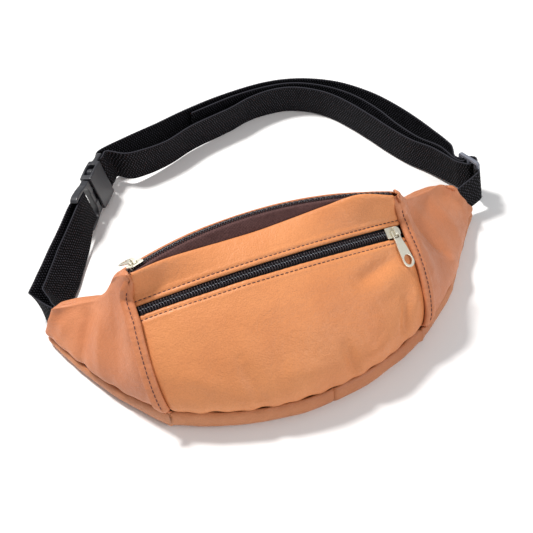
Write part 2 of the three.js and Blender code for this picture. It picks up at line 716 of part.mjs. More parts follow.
add("buckle_male", placed(maleFrame(), buckleFrame), PLASTIC);
add("buckle_arm_upper", placed(springArm(1), buckleFrame), PLASTIC);
add("buckle_arm_lower", placed(springArm(-1), buckleFrame), PLASTIC);
add("buckle_female", placed(femaleSocket(), buckleFrame), PLASTIC);

// ---- three-bar strap adjuster ----
// Local frame as the buckle's: x along the strap, y through the thickness, z across the width.
const glideFrame = fittingFrame({ foot: V(218, 113, 3.6), heading: 102, lean: -6, roll: 12 });
function adjuster() {
  const frame = roundedRect(-12, 12, -19, 19, 3);
  return cut(bucklePlate(frame, 1.4, 3), [
    boxSolid([-9.8, -1.6], [-5, 5], [-16, 16]),
    boxSolid([1.6, 9.8], [-5, 5], [-16, 16]),
  ]);
}
add("strap_adjuster", placed(adjuster(), glideFrame), PLASTIC);

// Webbing stations on points [along, through] of a fitting's frame, at the middle of its width.
function onFitting(frame, points) {
  return points.map(([x, y]) => {
    const foot = V(x, y, -WEB_W / 2).applyMatrix4(frame);
    const head = V(x, y, WEB_W / 2).applyMatrix4(frame);
    return [foot.x, foot.y, foot.z, head.x - foot.x, head.y - foot.y];
  });
}

// A webbing station between the two walls of a wing, shifted towards its front wall.
function inWing(wing, s, shift) {
  const at = (curve) => curve.getPointAt(s);
  const foot = mix(at(wing.base), at(wing.seam), 0.5);
  const head = mix(at(wing.back), at(wing.front), 0.5);
  const out = at(wing.seam).sub(at(wing.base)).setZ(0).normalize();
  const lean = head.sub(foot).setLength(WEB_W);
  foot.addScaledVector(out, shift);
  return [foot.x, foot.y, foot.z, lean.x, lean.y];
}

// Left strap: both ends sewn in the left wing, doubled round the male part's bar.
function leftStrap() {
  return webbing([
    inWing(WINGS.left, 0.9, 1.2),
    inWing(WINGS.left, 1, 1.2),
    [-161, 107, 3.5, -3, 2],
    [-152, 119, 2, -18, 6],
    [-141, 134, 1.5, -18, 9],
    [-130, 153, 1.5, -15, 10],
    [-120, 171, 3, -12, 8],
    ...onFitting(buckleFrame, [[4, 3.8], [11, 3.2], [15.2, 2], [16, 0], [15.2, -2], [11, -3.2], [4, -3.8]]),
    [-112, 171, 3, -12, 8],
    [-122, 152, 1.5, -16, 9],
    [-131, 135, 1.5, -18, 8],
    [-142, 119, 2, -17, 6],
    [-153, 106, 3.5, -3, 2],
    inWing(WINGS.left, 1, -1.2),
    inWing(WINGS.left, 0.9, -1.2),
  ]);
}

// Belt: sewn in the right wing, woven through the adjuster, round the socket's bar and back
// to the adjuster's middle bar; its tail lies between the two runs.
function beltStrap() {
  const weave = [[-16, 3], [-11, 3.1], [-7, 0.4], [-4, -5], [0, -7], [4, -5], [7, 0.4], [11, 2.9]];
  const turn = [[15, 7.6], [8, 7.2], [1, 4.6], [-2.8, 2.7], [-3.9, 0], [-2.6, -2.6], [0, -3.2],
    [2.6, -2.6], [3.6, 0], [4.6, 3], [8, 4.7], [15, 5.2]];
  const socketBar = [[66, 3.6], [60, 3.3], [56.2, 2.2], [55.2, 0], [56.2, -2.2], [60, -3.3], [66, -3.6]];
  return webbing([
    inWing(WINGS.right, 0.9, 0),
    inWing(WINGS.right, 1, 0),
    ...onFitting(glideFrame, weave),
    ...onFitting(glideFrame, [[16, 3]]),
    [212, 145, 2, 0, 2],
    [207, 170, 1, 0, 0],
    [194, 206, 0.8, 1, 0],
    [178, 236, 0.8, 1, 1],
    [154, 263, 0.8, 1, 1],
    [125, 280, 0.8, 0, 1],
    [94, 287, 0.8, 0, 1],
    [50, 285, 0.8, 0, 1],
    [12, 278, 0.8, 0, 1],
    [-20, 268, 1, -1, 2],
    [-45, 258, 3, -3, 4],
    ...onFitting(buckleFrame, socketBar),
    [-56, 237, 5, -2, 2],
    [-40, 239, 3, 0, 1],
    [-18, 246, 1, 0, -1],
    [8, 257, 0.8, 0, -1],
    [49, 268, 0.8, 0, -2],
    [70, 275, 0.8, 0, -2],
    [92, 277, 0.8, 0, -1],
    [112, 274, 0.8, -1, -1],
    [130, 264, 0.8, -1, -1],
    [144, 250, 0.8, -1, -1],
    [155, 231, 0.8, -1, 0],
    [165, 209, 0.8, -1, 0],
    [174, 187, 0.8, -1, 0],
    [184, 167, 0.8, -1, 0],
    [196, 149, 1.5, -1, 2],
    ...onFitting(glideFrame, turn),
    [203, 147, 2, -1, 2],
    [190, 168, 1, 0, 0],
    [181, 190, 0.8, 0, 0],
    [174, 214, 0.8, 0, 0],
    [163, 238, 0.8, 0, 0],
    [148, 257, 0.8, 0, 0],
    [130, 271, 0.8, 0, 0],
    [112, 279, 0.8, 0, 0],
    [92, 282, 0.8, 0, 0],
    [60, 281, 0.8, 0, 0],
    [14, 272.5, 0.8, 0, 0],
  ]);
}
add("strap_left", leftStrap(), WEBBING);
add("strap_belt", beltStrap(), WEBBING);

export default group;
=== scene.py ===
"""Waist pack: the looks of the stuffed leather pouch, its zips, belt and buckle.

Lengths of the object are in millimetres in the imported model's frame, and become metres as each mesh
is made. The camera, floor and lights are in metres.
"""

import json
import math

import bpy
import numpy as np
from mathutils import Matrix, Vector, noise

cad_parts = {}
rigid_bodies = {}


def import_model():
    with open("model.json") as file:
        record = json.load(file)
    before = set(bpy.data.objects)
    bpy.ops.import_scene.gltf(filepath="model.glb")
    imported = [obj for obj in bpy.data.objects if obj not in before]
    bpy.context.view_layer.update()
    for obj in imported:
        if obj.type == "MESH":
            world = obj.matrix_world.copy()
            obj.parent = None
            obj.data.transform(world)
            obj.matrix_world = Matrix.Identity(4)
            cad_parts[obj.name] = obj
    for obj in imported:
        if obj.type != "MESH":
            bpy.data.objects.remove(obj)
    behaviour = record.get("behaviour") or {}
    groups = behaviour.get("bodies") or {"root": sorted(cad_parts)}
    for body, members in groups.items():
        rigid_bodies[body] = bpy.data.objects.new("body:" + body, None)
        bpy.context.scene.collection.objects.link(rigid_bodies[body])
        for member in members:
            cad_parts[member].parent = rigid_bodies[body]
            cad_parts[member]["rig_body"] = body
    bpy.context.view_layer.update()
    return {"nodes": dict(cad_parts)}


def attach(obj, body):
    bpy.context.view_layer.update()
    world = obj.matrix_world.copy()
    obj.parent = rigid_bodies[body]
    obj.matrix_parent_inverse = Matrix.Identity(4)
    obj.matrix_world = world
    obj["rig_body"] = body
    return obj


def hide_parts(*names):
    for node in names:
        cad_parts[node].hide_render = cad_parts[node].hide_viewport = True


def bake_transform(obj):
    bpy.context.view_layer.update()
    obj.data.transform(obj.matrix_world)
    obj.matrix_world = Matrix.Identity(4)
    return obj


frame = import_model()
MM = 0.001
EAST = np.array([1.0, 0.0, 0.0])
UP = np.array([0.0, 0.0, 1.0])
CURVE_SAMPLES = 201


# -------- camera, floor and light
CAMERA_AZIMUTH = -21.6
CAMERA_ELEVATION = 50.0
CAMERA_DISTANCE = 0.708
CAMERA_TARGET = Vector((0.001, 0.055, 0.060))
CAMERA_LENS = 64.2
SENSOR_WIDTH = 36.0
FLOOR_HALF = 4.0
FLOOR_DROP = 0.0002
FLOOR_COLOUR = (0.93, 0.93, 0.93, 1)
WORLD_COLOUR = (0.97, 0.98, 1.0, 1)
WORLD_STRENGTH = 0.4
# Lights: name, place, target, diameter, power and colour.
LIGHTS = [
    ("key", (-0.5, 0.72, 1.25), (0.0, 0.05, 0.03), 0.24, 25.0, (1.0, 0.98, 0.95)),
    ("fill", (0.75, -1.05, 0.95), (0.0, 0.0, 0.04), 1.0, 9.5, (1.0, 0.99, 0.98)),
]


def link(obj):
    bpy.context.scene.collection.objects.link(obj)


def aim(obj, target):
    direction = Vector(target) - obj.location
    obj.rotation_euler = direction.to_track_quat("-Z", "Y").to_euler()


def area_light(name, place, target, size, power, tint):
    data = bpy.data.lights.new(name, "AREA")
    data.shape = "DISK"
    data.size = size
    data.energy = power
    data.color = tint
    light = bpy.data.objects.new(name, data)
    light.location = place
    link(light)
    aim(light, target)


def build_camera():
    azimuth, elevation = math.radians(CAMERA_AZIMUTH), math.radians(CAMERA_ELEVATION)
    level = math.cos(elevation)
    back = Vector((math.sin(azimuth) * level, -math.cos(azimuth) * level, math.sin(elevation)))
    data = bpy.data.cameras.new("camera")
    data.sensor_width = SENSOR_WIDTH
    data.lens = CAMERA_LENS
    data.clip_start = 0.01
    camera = bpy.data.objects.new("camera", data)
    camera.location = CAMERA_TARGET + back * CAMERA_DISTANCE
    link(camera)
    aim(camera, CAMERA_TARGET)
    bpy.context.scene.camera = camera


def build_floor():
    corners = [(FLOOR_HALF * x, FLOOR_HALF * y, 0) for x, y in ((-1, -1), (1, -1), (1, 1), (-1, 1))]
    mesh = bpy.data.meshes.new("floor")
    mesh.from_pydata(corners, [], [(0, 1, 2, 3)])
    floor = bpy.data.objects.new("floor", mesh)
    floor.location.z = -FLOOR_DROP
    link(floor)
    mesh.materials.append(Nodes("paper").set(Base_Color=FLOOR_COLOUR, Roughness=0.9))


def build_stage():
    scene = bpy.context.scene
    scene.view_settings.view_transform = "Standard"
    scene.view_settings.look = "None"
    build_floor()
    world = bpy.data.worlds.new("studio")
    world.use_nodes = True
    background = world.node_tree.nodes["Background"]
    background.inputs["Color"].default_value = WORLD_COLOUR
    background.inputs["Strength"].default_value = WORLD_STRENGTH
    scene.world = world
    for light in LIGHTS:
        area_light(*light)


# -------- curves
def unit(v):
    return v / np.linalg.norm(v, axis=-1, keepdims=True)


def smooth(t):
    t = np.clip(t, 0, 1)
    return t * t * (3 - 2 * t)


def bezier(start, leave, arrive, end, t):
    """Points of the curve from start to end whose handles stand off its ends by leave and arrive."""
    t = np.asarray(t, float)[:, None]
    s = 1 - t
    return s**3 * start + 3 * s * s * t * (start + leave) + 3 * s * t * t * (end + arrive) + t**3 * end


def spline_at(points, u):
    """Centripetal spline through points, at shares u of its spans."""
    p = np.array(points, float)
    p = np.vstack([2 * p[0] - p[1], p, 2 * p[-1] - p[-2]])
    spans = len(p) - 3
    u = np.clip(np.asarray(u, float), 0, 1) * spans
    i = np.minimum(u.astype(int), spans - 1)
    t = (u - i)[:, None]
    p0, p1, p2, p3 = p[i], p[i + 1], p[i + 2], p[i + 3]
    d0, d1, d2 = (
        np.maximum(np.linalg.norm(b - a, axis=1), 1e-8)[:, None] ** 0.5
        for a, b in ((p0, p1), (p1, p2), (p2, p3))
    )
    m1 = d1 * ((p1 - p0) / d0 - (p2 - p0) / (d0 + d1) + (p2 - p1) / d1)
    m2 = d1 * ((p2 - p1) / d1 - (p3 - p1) / (d1 + d2) + (p3 - p2) / d2)
    h = 2 * p1 - 2 * p2 + m1 + m2
    g = 3 * p2 - 3 * p1 - 2 * m1 - m2
    return p1 + t * (m1 + t * (g + t * h))


def lengths(points):
    return np.concatenate([[0], np.cumsum(np.linalg.norm(np.diff(points, axis=0), axis=1))])


def read_at(wanted, along, values):
    """Rows of values that lie at the lengths along, read at the wanted lengths."""
    return np.stack([np.interp(wanted, along, values[:, k]) for k in range(values.shape[1])], 1)


def resample(points, count):
    """The same polyline with count points at equal steps of length."""
    along = lengths(points)
    return read_at(np.linspace(0, along[-1], count), along, points)


def averaged(values):
    """Each column of values as its running mean over nine rows."""
    padded = np.pad(values, ((4, 4), (0, 0)), mode="edge")
    kernel = np.ones(9) / 9
    return np.stack([np.convolve(column, kernel, mode="valid") for column in padded.T], 1)


def arc_at(points, share):
    """Point on the spline through points, at a share of its length."""
    u = np.linspace(0, 1, CURVE_SAMPLES)
    along = lengths(spline_at(points, u))
    return spline_at(points, [np.interp(share * along[-1], along, u)])[0]


# -------- meshes
def make_object(name, points, faces, body, material, uv=None):
    mesh = bpy.data.meshes.new(name)
    mesh.from_pydata((np.asarray(points).reshape(-1, 3) * MM).tolist(), [], faces)
    mesh.validate()
    if uv is not None:
        layer = mesh.uv_layers.new(name="weave")
        index = np.zeros(len(mesh.loops), int)
        mesh.loops.foreach_get("vertex_index", index)
        layer.data.foreach_set("uv", np.asarray(uv, float).reshape(-1, 2)[index].ravel())
    mesh.polygons.foreach_set("use_smooth", [True] * len(mesh.polygons))
    mesh.materials.append(material)
    obj = bpy.data.objects.new(name, mesh)
    link(obj)
    if body:
        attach(obj, body)
    return obj


def grid_faces(rows, cols, start=0, wrap=False, flip=False):
    """Quads of a rows by cols grid of vertices; wrap joins the last column to the first."""
    faces = []
    for low in range(start, start + (rows - 1) * cols, cols):
        high = low + cols
        for j in range(cols if wrap else cols - 1):
            k = (j + 1) % cols
            quad = (low + j, low + k, high + k, high + j)
            faces.append(quad[::-1] if flip else quad)
    return faces


def tube_faces(rows, cols, flip=False):
    """Faces of a closed tube: a wrapped grid with a cap on its first and last ring."""
    faces = grid_faces(rows, cols, wrap=True)
    faces.append(tuple(range(cols))[::-1])
    faces.append(tuple(range(cols * (rows - 1), cols * rows)))
    return faces if flip else [face[::-1] for face in faces]


def tube_mesh(path, radius, sides):
    """Vertices and faces of a closed tube along path; radius may vary along it."""
    count = len(path)
    radius = np.broadcast_to(np.asarray(radius, float), (count,))
    tangent = unit(np.gradient(path, axis=0))
    seed = UP if abs(tangent[0] @ UP) < 0.9 else EAST
    normals = np.zeros_like(path)
    for k in range(count):
        seed = unit(seed - tangent[k] * (seed @ tangent[k]))
        normals[k] = seed
    side = unit(np.cross(tangent, normals))
    lift = np.cross(side, tangent)
    turn = np.linspace(0, 2 * math.pi, sides, endpoint=False)[None, :, None]
    ring = side[:, None] * np.cos(turn) + lift[:, None] * np.sin(turn)
    points = (path[:, None] + ring * radius[:, None, None]).reshape(-1, 3)
    return points, tube_faces(count, sides)


def join_meshes(parts):
    """One list of points and faces from many."""
    points, faces, start = [], [], 0
    for p, f in parts:
        points.append(p)
        faces.extend(tuple(i + start for i in face) for face in f)
        start += len(p)
    return np.vstack(points), faces


def surface_normals(grid, inside):
    """Unit normals of a grid of points, facing away from the point inside."""
    n = np.cross(*np.gradient(grid, axis=(0, 1)))
    n /= np.maximum(np.linalg.norm(n, axis=-1, keepdims=True), 1e-9)
    middle = grid.shape[0] // 2, grid.shape[1] // 2
    if n[middle] @ (grid[middle] - np.asarray(inside)) < 0:
        n = -n
    return n


def edge_distances(grid):
    """Distance of every grid point from the four edges: first row, last row, first and last column."""
    found = []
    for axis in (0, 1):
        steps = np.linalg.norm(np.diff(grid, axis=axis), axis=-1)
        run = np.insert(np.cumsum(steps, axis=axis), 0, 0, axis=axis)
        found += [run, run.take([-1], axis=axis) - run]
    return found


def rim_faces(rows, cols):
    """Faces that join the rim of a padded grid to the smaller grid stored after it."""
    wide = cols + 2
    start = (rows + 2) * wide
    rim = [(0, j) for j in range(cols + 1)] + [(i, cols + 1) for i in range(rows + 1)]
    rim += [(rows + 1, j) for j in range(cols + 1, 0, -1)] + [(i, 0) for i in range(rows + 1, 0, -1)]
    outer = [i * wide + j for i, j in rim]
    inner = [start + np.clip(i - 1, 0, rows - 1) * cols + np.clip(j - 1, 0, cols - 1) for i, j in rim]
    faces = []
    for k in range(len(rim)):
        before = k - 1
        after = (k + 1) % len(rim)
        if inner[before] != inner[k]:
            faces.append((outer[k], outer[before], inner[before], inner[k]))
        elif inner[k] == inner[after]:
            faces.append((outer[k], outer[before], inner[k], outer[after]))
    return faces


def shell(grid, normals, thickness):
    """Closed leather shell below a grid, with rounded edges, as points and faces."""
    rows, cols = grid.shape[:2]
    padded = np.pad(grid, ((1, 1), (1, 1), (0, 0)), mode="edge")
    pad_n = np.pad(normals, ((1, 1), (1, 1), (0, 0)), mode="edge")
    bulge = np.zeros_like(padded)
    half = thickness / 2
    bulge[0, 1:-1] = unit(grid[0] - grid[1]) * half
    bulge[-1, 1:-1] = unit(grid[-1] - grid[-2]) * half
    bulge[1:-1, 0] = unit(grid[:, 0] - grid[:, 1]) * half
    bulge[1:-1, -1] = unit(grid[:, -1] - grid[:, -2]) * half
    for i, j, a, b in ((0, 0, 1, 1), (0, -1, 1, -2), (-1, 0, -2, 1), (-1, -1, -2, -2)):
        bulge[i, j] = (bulge[i, b] + bulge[a, j]) * 0.7
    border = np.ones(padded.shape[:2], bool)
    border[1:-1, 1:-1] = False
    outer = padded + bulge - pad_n * np.where(border, half, 0)[..., None]
    inner = grid - normals * thickness
    points = np.vstack([outer.reshape(-1, 3), inner.reshape(-1, 3)])
    faces = grid_faces(rows + 2, cols + 2)
    faces += grid_faces(rows, cols, (rows + 2) * (cols + 2), flip=True)
    return points, faces + rim_faces(rows, cols)


# -------- materials
def srgb(r, g, b):
    def linear(c):
        c /= 255
        return c / 12.92 if c <= 0.04045 else ((c + 0.055) / 1.055) ** 2.4

    return (linear(r), linear(g), linear(b), 1.0)


class Nodes:
    """Short calls for building a material's nodes."""

    def __init__(self, name):
        self.material = bpy.data.materials.new(name)
        self.material.use_nodes = True
        self.tree = self.material.node_tree
        self.shader = self.tree.nodes["Principled BSDF"]
        self.place = self.tree.nodes.new("ShaderNodeTexCoord").outputs["Object"]

    def feed(self, socket, value):
        """Set a socket to a number or colour, or link it to another node's output."""
        if isinstance(value, (int, float, tuple)):
            socket.default_value = value
        else:
            self.tree.links.new(value, socket)

    def node(self, kind, inputs=(), **settings):
        """A new node with its settings, and its inputs fed by name or number."""
        made = self.tree.nodes.new(kind)
        for key, value in settings.items():
            setattr(made, key, value)
        for key, value in dict(inputs).items():
            self.feed(made.inputs[key], value)
        return made

    def noise(self, scale, detail, rough):
        inputs = {"Vector": self.place, "Scale": scale, "Detail": detail, "Roughness": rough}
        return self.node("ShaderNodeTexNoise", inputs).outputs["Fac"]

    def cells(self, scale):
        inputs = {"Vector": self.place, "Scale": scale}
        return self.node("ShaderNodeTexVoronoi", inputs, feature="SMOOTH_F1").outputs["Distance"]

    def math(self, operation, a, b=0.0):
        return self.node("ShaderNodeMath", {0: a, 1: b}, operation=operation).outputs[0]

    def times(self, a, b):
        return self.math("MULTIPLY", a, b)

    def wave(self, a, rate):
        return self.math("SINE", self.times(a, rate))

    def span(self, value, low, high, to_low=0.0, to_high=1.0):
        inputs = {"Value": value, "From Min": low, "From Max": high, "To Min": to_low, "To Max": to_high}
        return self.node("ShaderNodeMapRange", inputs).outputs["Result"]

    def blend(self, factor, a, b):
        return self.node("ShaderNodeMix", {"Factor": factor, 6: a, 7: b}, data_type="RGBA").outputs[2]

    def bump(self, height, strength, distance):
        inputs = {"Height": height, "Strength": strength, "Distance": distance}
        normal = self.node("ShaderNodeBump", inputs).outputs["Normal"]
        self.feed(self.shader.inputs["Normal"], normal)

    def set(self, **values):
        for key, value in values.items():
            self.feed(self.shader.inputs[key.replace("_", " ")], value)
        return self.material

    def weave_place(self):
        """Distances along and across the cloth in mm, from the piece's uv."""
        uv = self.node("ShaderNodeUVMap").outputs["UV"]
        split = self.node("ShaderNodeSeparateXYZ", {"Vector": uv})
        return split.outputs["X"], split.outputs["Y"]

    def span(self, value, low, high, to_low=0.0, to_high=1.0):
        made = self.node("ShaderNodeMapRange", [("Value", value)])
        made.inputs["From Min"].default_value = low
        made.inputs["From Max"].default_value = high
        made.inputs["To Min"].default_value = to_low
        made.inputs["To Max"].default_value = to_high
        return made.outputs["Result"]

    def blend(self, factor, a, b):
        made = self.node("ShaderNodeMix", data_type="RGBA")
        self.feed(made.inputs["Factor"], factor)
        self.feed(made.inputs[6], a)
        self.feed(made.inputs[7], b)
        return made.outputs[2]


def scaled(colour, factor):
    return tuple(c * factor for c in colour[:3]) + (1.0,)


def leather(name, base, shade, sheen):
    n = Nodes(name)
    broad = n.span(n.noise(16, 3, 0.5), 0.3, 0.72)
    mottle = n.span(n.noise(240, 4, 0.6), 0.32, 0.7)
    grain = n.cells(1050)
    colour = n.blend(broad, base, shade)
    colour = n.blend(n.span(mottle, 0, 1, 0.0, 0.22), colour, shade)
    pores = n.span(grain, 0.0, 0.55, 0.22, 0.0)
    colour = n.blend(pores, colour, scaled(shade, 0.55))
    height = n.math("ADD", n.times(grain, 0.6), n.times(mottle, 0.55))
    n.bump(height, 0.5, 0.0007)
    return n.set(
        Base_Color=colour,
        Roughness=n.span(mottle, 0, 1, 0.42, 0.56),
        Specular_IOR_Level=0.42,
        Sheen_Weight=sheen,
        Sheen_Roughness=0.4,
        Sheen_Tint=srgb(255, 205, 185),
    )


def plastic(name, base, rough):
    n = Nodes(name)
    speck = n.noise(2600, 2, 0.5)
    wear = n.span(n.noise(60, 4, 0.6), 0.4, 0.75)
    colour = n.blend(n.span(wear, 0, 1, 0.0, 0.35), base, scaled(base, 1.5))
    n.bump(speck, 0.25, 0.0001)
    return n.set(Base_Color=colour, Roughness=n.span(wear, 0, 1, rough, rough + 0.12))


def metal(name, base):
    n = Nodes(name)
    smear = n.noise(130, 5, 0.6)
    scratch = n.noise(1800, 2, 0.5)
    colour = n.blend(n.span(smear, 0.35, 0.7), base, scaled(base, 0.82))
    n.bump(scratch, 0.12, 0.00008)
    return n.set(Base_Color=colour, Metallic=0.7, Roughness=n.span(smear, 0.3, 0.75, 0.26, 0.42))


def cloth(name, base, light, fine):
    """Plain woven fabric; fine is the size of its weave in mm."""
    n = Nodes(name)
    along, across = n.weave_place()
    warp = n.wave(along, 2 * math.pi / fine)
    weft = n.wave(across, 2 * math.pi / fine)
    weave = n.span(n.times(warp, weft), -1, 1)
    fuzz = n.noise(900, 3, 0.6)
    height = n.math("ADD", weave, n.times(fuzz, 0.5))
    n.bump(height, 0.5, 0.0003)
    colour = n.blend(n.span(n.times(weave, fuzz), 0.1, 0.6), base, light)
    return n.set(Base_Color=colour, Roughness=0.85, Specular_IOR_Level=0.3)


WEB_W = 30.0
WEAVE_ALONG = 2.4  # length of one knot of the belt's weave
WEAVE_ACROSS = 2.1  # width of one column of knots
WEAVE_SKEW = 0.8  # how far the knots' rows waver, in radians of the weave
SKEW_RATE = 0.7


def belt_cloth(name, base, light):
    """Belt webbing: the raised knots of its weave are painted a pale colour as highlights, the rest
    stays dark.
    """
    n = Nodes(name)
    along, across = n.weave_place()
    column = n.math("FLOOR", n.math("DIVIDE", across, WEAVE_ACROSS))
    flip = n.times(n.math("MODULO", column, 2.0), math.pi)
    skew = n.times(n.wave(across, SKEW_RATE), WEAVE_SKEW)
    turn = n.times(along, 2 * math.pi / WEAVE_ALONG)
    turn = n.math("ADD", turn, n.math("ADD", flip, skew))
    rib = n.span(n.math("SINE", turn), -0.2, 1.0)
    groove = n.math("ABSOLUTE", n.wave(across, math.pi / WEAVE_ACROSS))
    knot = n.times(rib, groove)
    fuzz = n.noise(700, 3, 0.6)
    n.bump(n.math("ADD", knot, n.times(fuzz, 0.4)), 0.5, 0.0003)
    # Painted highlight: the knots' tops, broken up by fuzz, are blended towards the pale colour.
    painted_knot_highlight = n.span(n.times(knot, n.span(fuzz, 0.15, 0.6)), 0.12, 0.95)
    half = WEB_W / 2
    # Painted highlight: a pale band along both edges of the webbing, where its rounded selvedges would
    # catch the light.
    edge = n.span(n.math("ABSOLUTE", n.math("SUBTRACT", across, half)), half - 1.1, half)
    colour = n.blend(n.math("MAXIMUM", painted_knot_highlight, n.times(edge, 0.55)), base, light)
    return n.set(Base_Color=colour, Roughness=0.65, Specular_IOR_Level=0.08)


LEATHER_FRONT = leather("leather_front", srgb(222, 146, 92), srgb(203, 126, 76), 0.03)
# Painted shade: the wings' leather is the front leather made darker and pinker, for the shade and tint
# of the light on the wings.
LEATHER_WING_SHADED = leather("leather_wing", srgb(208, 134, 92), srgb(188, 114, 74), 0.06)
LEATHER_GUSSET = leather("leather_gusset", srgb(200, 133, 90), srgb(178, 110, 70), 0.03)
LEATHER_BACK = leather("leather_back", srgb(205, 132, 90), srgb(184, 112, 72), 0.05)
THREAD = cloth("thread_dark", srgb(42, 28, 46), srgb(84, 66, 82), 0.5)
TAPE_DARK = cloth("zip_tape_dark", srgb(8, 7, 9), srgb(26, 22, 28), 0.9)
TAPE_BROWN = cloth("zip_tape_brown", srgb(58, 34, 34), srgb(122, 88, 86), 1.3)
COIL_DARK = plastic("zip_coil_dark", srgb(48, 40, 46), 0.24)
THREAD_GREY = cloth("zip_thread_grey", srgb(20, 18, 22), srgb(60, 56, 64), 0.4)
COIL_CORD = cloth("zip_cord_grey", srgb(120, 124, 132), srgb(170, 176, 184), 0.4)
NICKEL = metal("nickel_warm", srgb(236, 231, 214))
PLASTIC = plastic("plastic_grey", srgb(44, 45, 50), 0.3)
PLASTIC_PALE = plastic("plastic_pale", srgb(112, 116, 128), 0.35)
# The webbing's second colour is the painted highlight of its knots and edges.
WEBBING = belt_cloth("webbing_black", srgb(3, 3, 4), srgb(70, 70, 78))
LINING = cloth("lining", srgb(46, 40, 40), srgb(70, 62, 60), 0.8)


# -------- the pouch's lines
SEAM_X = 101.0
SEAM_GAP = 3.0
BASE_BACK_Y = 50.0
TAPE_TO_FACE = 2.2
WINDOW_HALF = 7.6


class ZipLine:
    """Arc of a zip. tilt turns its tape about its own line: at 0 the tape lies flat in the arc's plane,
    at 90 it wraps round the arc's axis. across runs over the tape, height away on the coil's side."""

    def __init__(self, end, middle, tilt):
        end, middle = np.array(end, float), np.array(middle, float)
        rise = middle - np.array([0, end[1], end[2]])
        sagitta = np.linalg.norm(rise)
        self.radial = rise / sagitta
        self.axis = np.cross(EAST, self.radial)
        self.radius = (end[0] ** 2 + sagitta**2) / (2 * sagitta)
        self.centre = middle - self.radial * self.radius
        self.cos, self.sin = math.cos(math.radians(tilt)), math.sin(math.radians(tilt))

    def out(self, theta):
        theta = np.asarray(theta, float)[..., None]
        return EAST * np.sin(theta) + self.radial * np.cos(theta)

    def across(self, theta):
        return self.out(theta) * self.cos - self.axis * self.sin

    def away(self, theta):
        return self.out(theta) * self.sin + self.axis * self.cos

    def point(self, theta, across, height):
        across, height = np.asarray(across, float)[..., None], np.asarray(height, float)[..., None]
        middle = self.centre + self.out(theta) * self.radius
        return middle + self.across(theta) * across + self.away(theta) * height

    def angle_at(self, x):
        return math.asin(x / self.radius)


FRONT_ZIP = ZipLine((SEAM_X, 38, 75), (0, 33, 86), 90)
MAIN_ZIP = ZipLine((SEAM_X, 56.5, 96), (0, 72, 100.2), 52)
FOLD_A = 5.2
EDGE_DROPS = (-0.5, 2.4, 6.4, 9, 9.4, 7, 2.6, -3.2, -1)


def edge_drop(f):
    """How far the front panel's top edge lies below the fold of the main zip's front tape."""
    places = np.linspace(-SEAM_X, SEAM_X, len(EDGE_DROPS))
    points = [(x, drop, 0) for x, drop in zip(places, EDGE_DROPS)]
    return spline_at(points, (np.atleast_1d(f) + 1) / 2)[:, 1]


def gusset_line(back, front, shares):
    """From the flat base's back edge, along the base and up the roll to the front seam."""
    out = unit((front - back) * (1, 1, 0))
    drop = front[2] - back[2]

    def at(push, share):
        p = front + out * push * drop
        p[2] = back[2] + share * drop
        return p

    line = spline_at([back, at(-0.5, 0), at(-0.06, 0.12), at(0.14, 0.5), front], shares)
    line[:, 2] = np.maximum(line[:, 2], 0.0)
    return line


def centre_lines(f, count):
    """The pouch's section at the share f of the way to a side seam, as lines of count points.
    A sum such as 30 - 6 * ff is its value at the middle, less what it loses at a side seam."""
    ff = f * f
    main = MAIN_ZIP.angle_at(f * SEAM_X)
    front = FRONT_ZIP.angle_at(f * (SEAM_X + 2))
    drop = edge_drop(f)[0]
    lip_in = MAIN_ZIP.point(main, 4.9, 3.0)
    lip_out = MAIN_ZIP.point(main, 7.6, 2.6)
    top = MAIN_ZIP.point(main, -FOLD_A - 2.6 + 0.5 * min(drop, 0), -drop)
    below, above = (FRONT_ZIP.point(front, across, TAPE_TO_FACE) for across in (-8, 8))
    rise = FRONT_ZIP.across(front)
    back_base = np.array([f * 93, BASE_BACK_Y - 2 * ff, 0.0])
    front_base = np.array([f * 98, -40 + 25 * ff, 19.0])
    t = np.linspace(0, 1, count)
    back = bezier(
        lip_out,
        np.array([0, 0.34, -0.94]) * (30 - 6 * ff),
        np.array([0, 0.5, 0.86]) * (42 - 12 * ff),
        back_base,
        t,
    )
    belly = bezier(
        below,
        EAST * 2 * f - rise * (26 - 10 * ff),
        np.array([0, -0.24, 0.97]) * (25 - 9 * ff) + EAST * 9 * f,
        front_base,
        t,
    )
    upper = bezier(above, rise * 6, np.array([0, -0.93, -0.3]) * (7 - 4 * ff) - UP * 3 * ff, top, t)
    return {
        "back": np.vstack([lip_in, back]),
        "gusset": gusset_line(back_base, front_base, t),
        "belly": belly,
        "upper": upper,
        "zip_theta": front,
    }


def front_profile(f, count):
    """The front's section at f from the gusset seam, over the front zip, to the top edge."""
    lines = centre_lines(f, 60)
    across = np.linspace(-WINDOW_HALF, WINDOW_HALF, 5)
    window = FRONT_ZIP.point(np.full(5, lines["zip_theta"]), across, TAPE_TO_FACE)
    return resample(np.vstack([lines["belly"][::-1], window, lines["upper"]]), count)


SEAM_OUT = SEAM_X + SEAM_GAP
WING_BLEND = 0.4  # share of a wing over which it leaves the centre panels' section
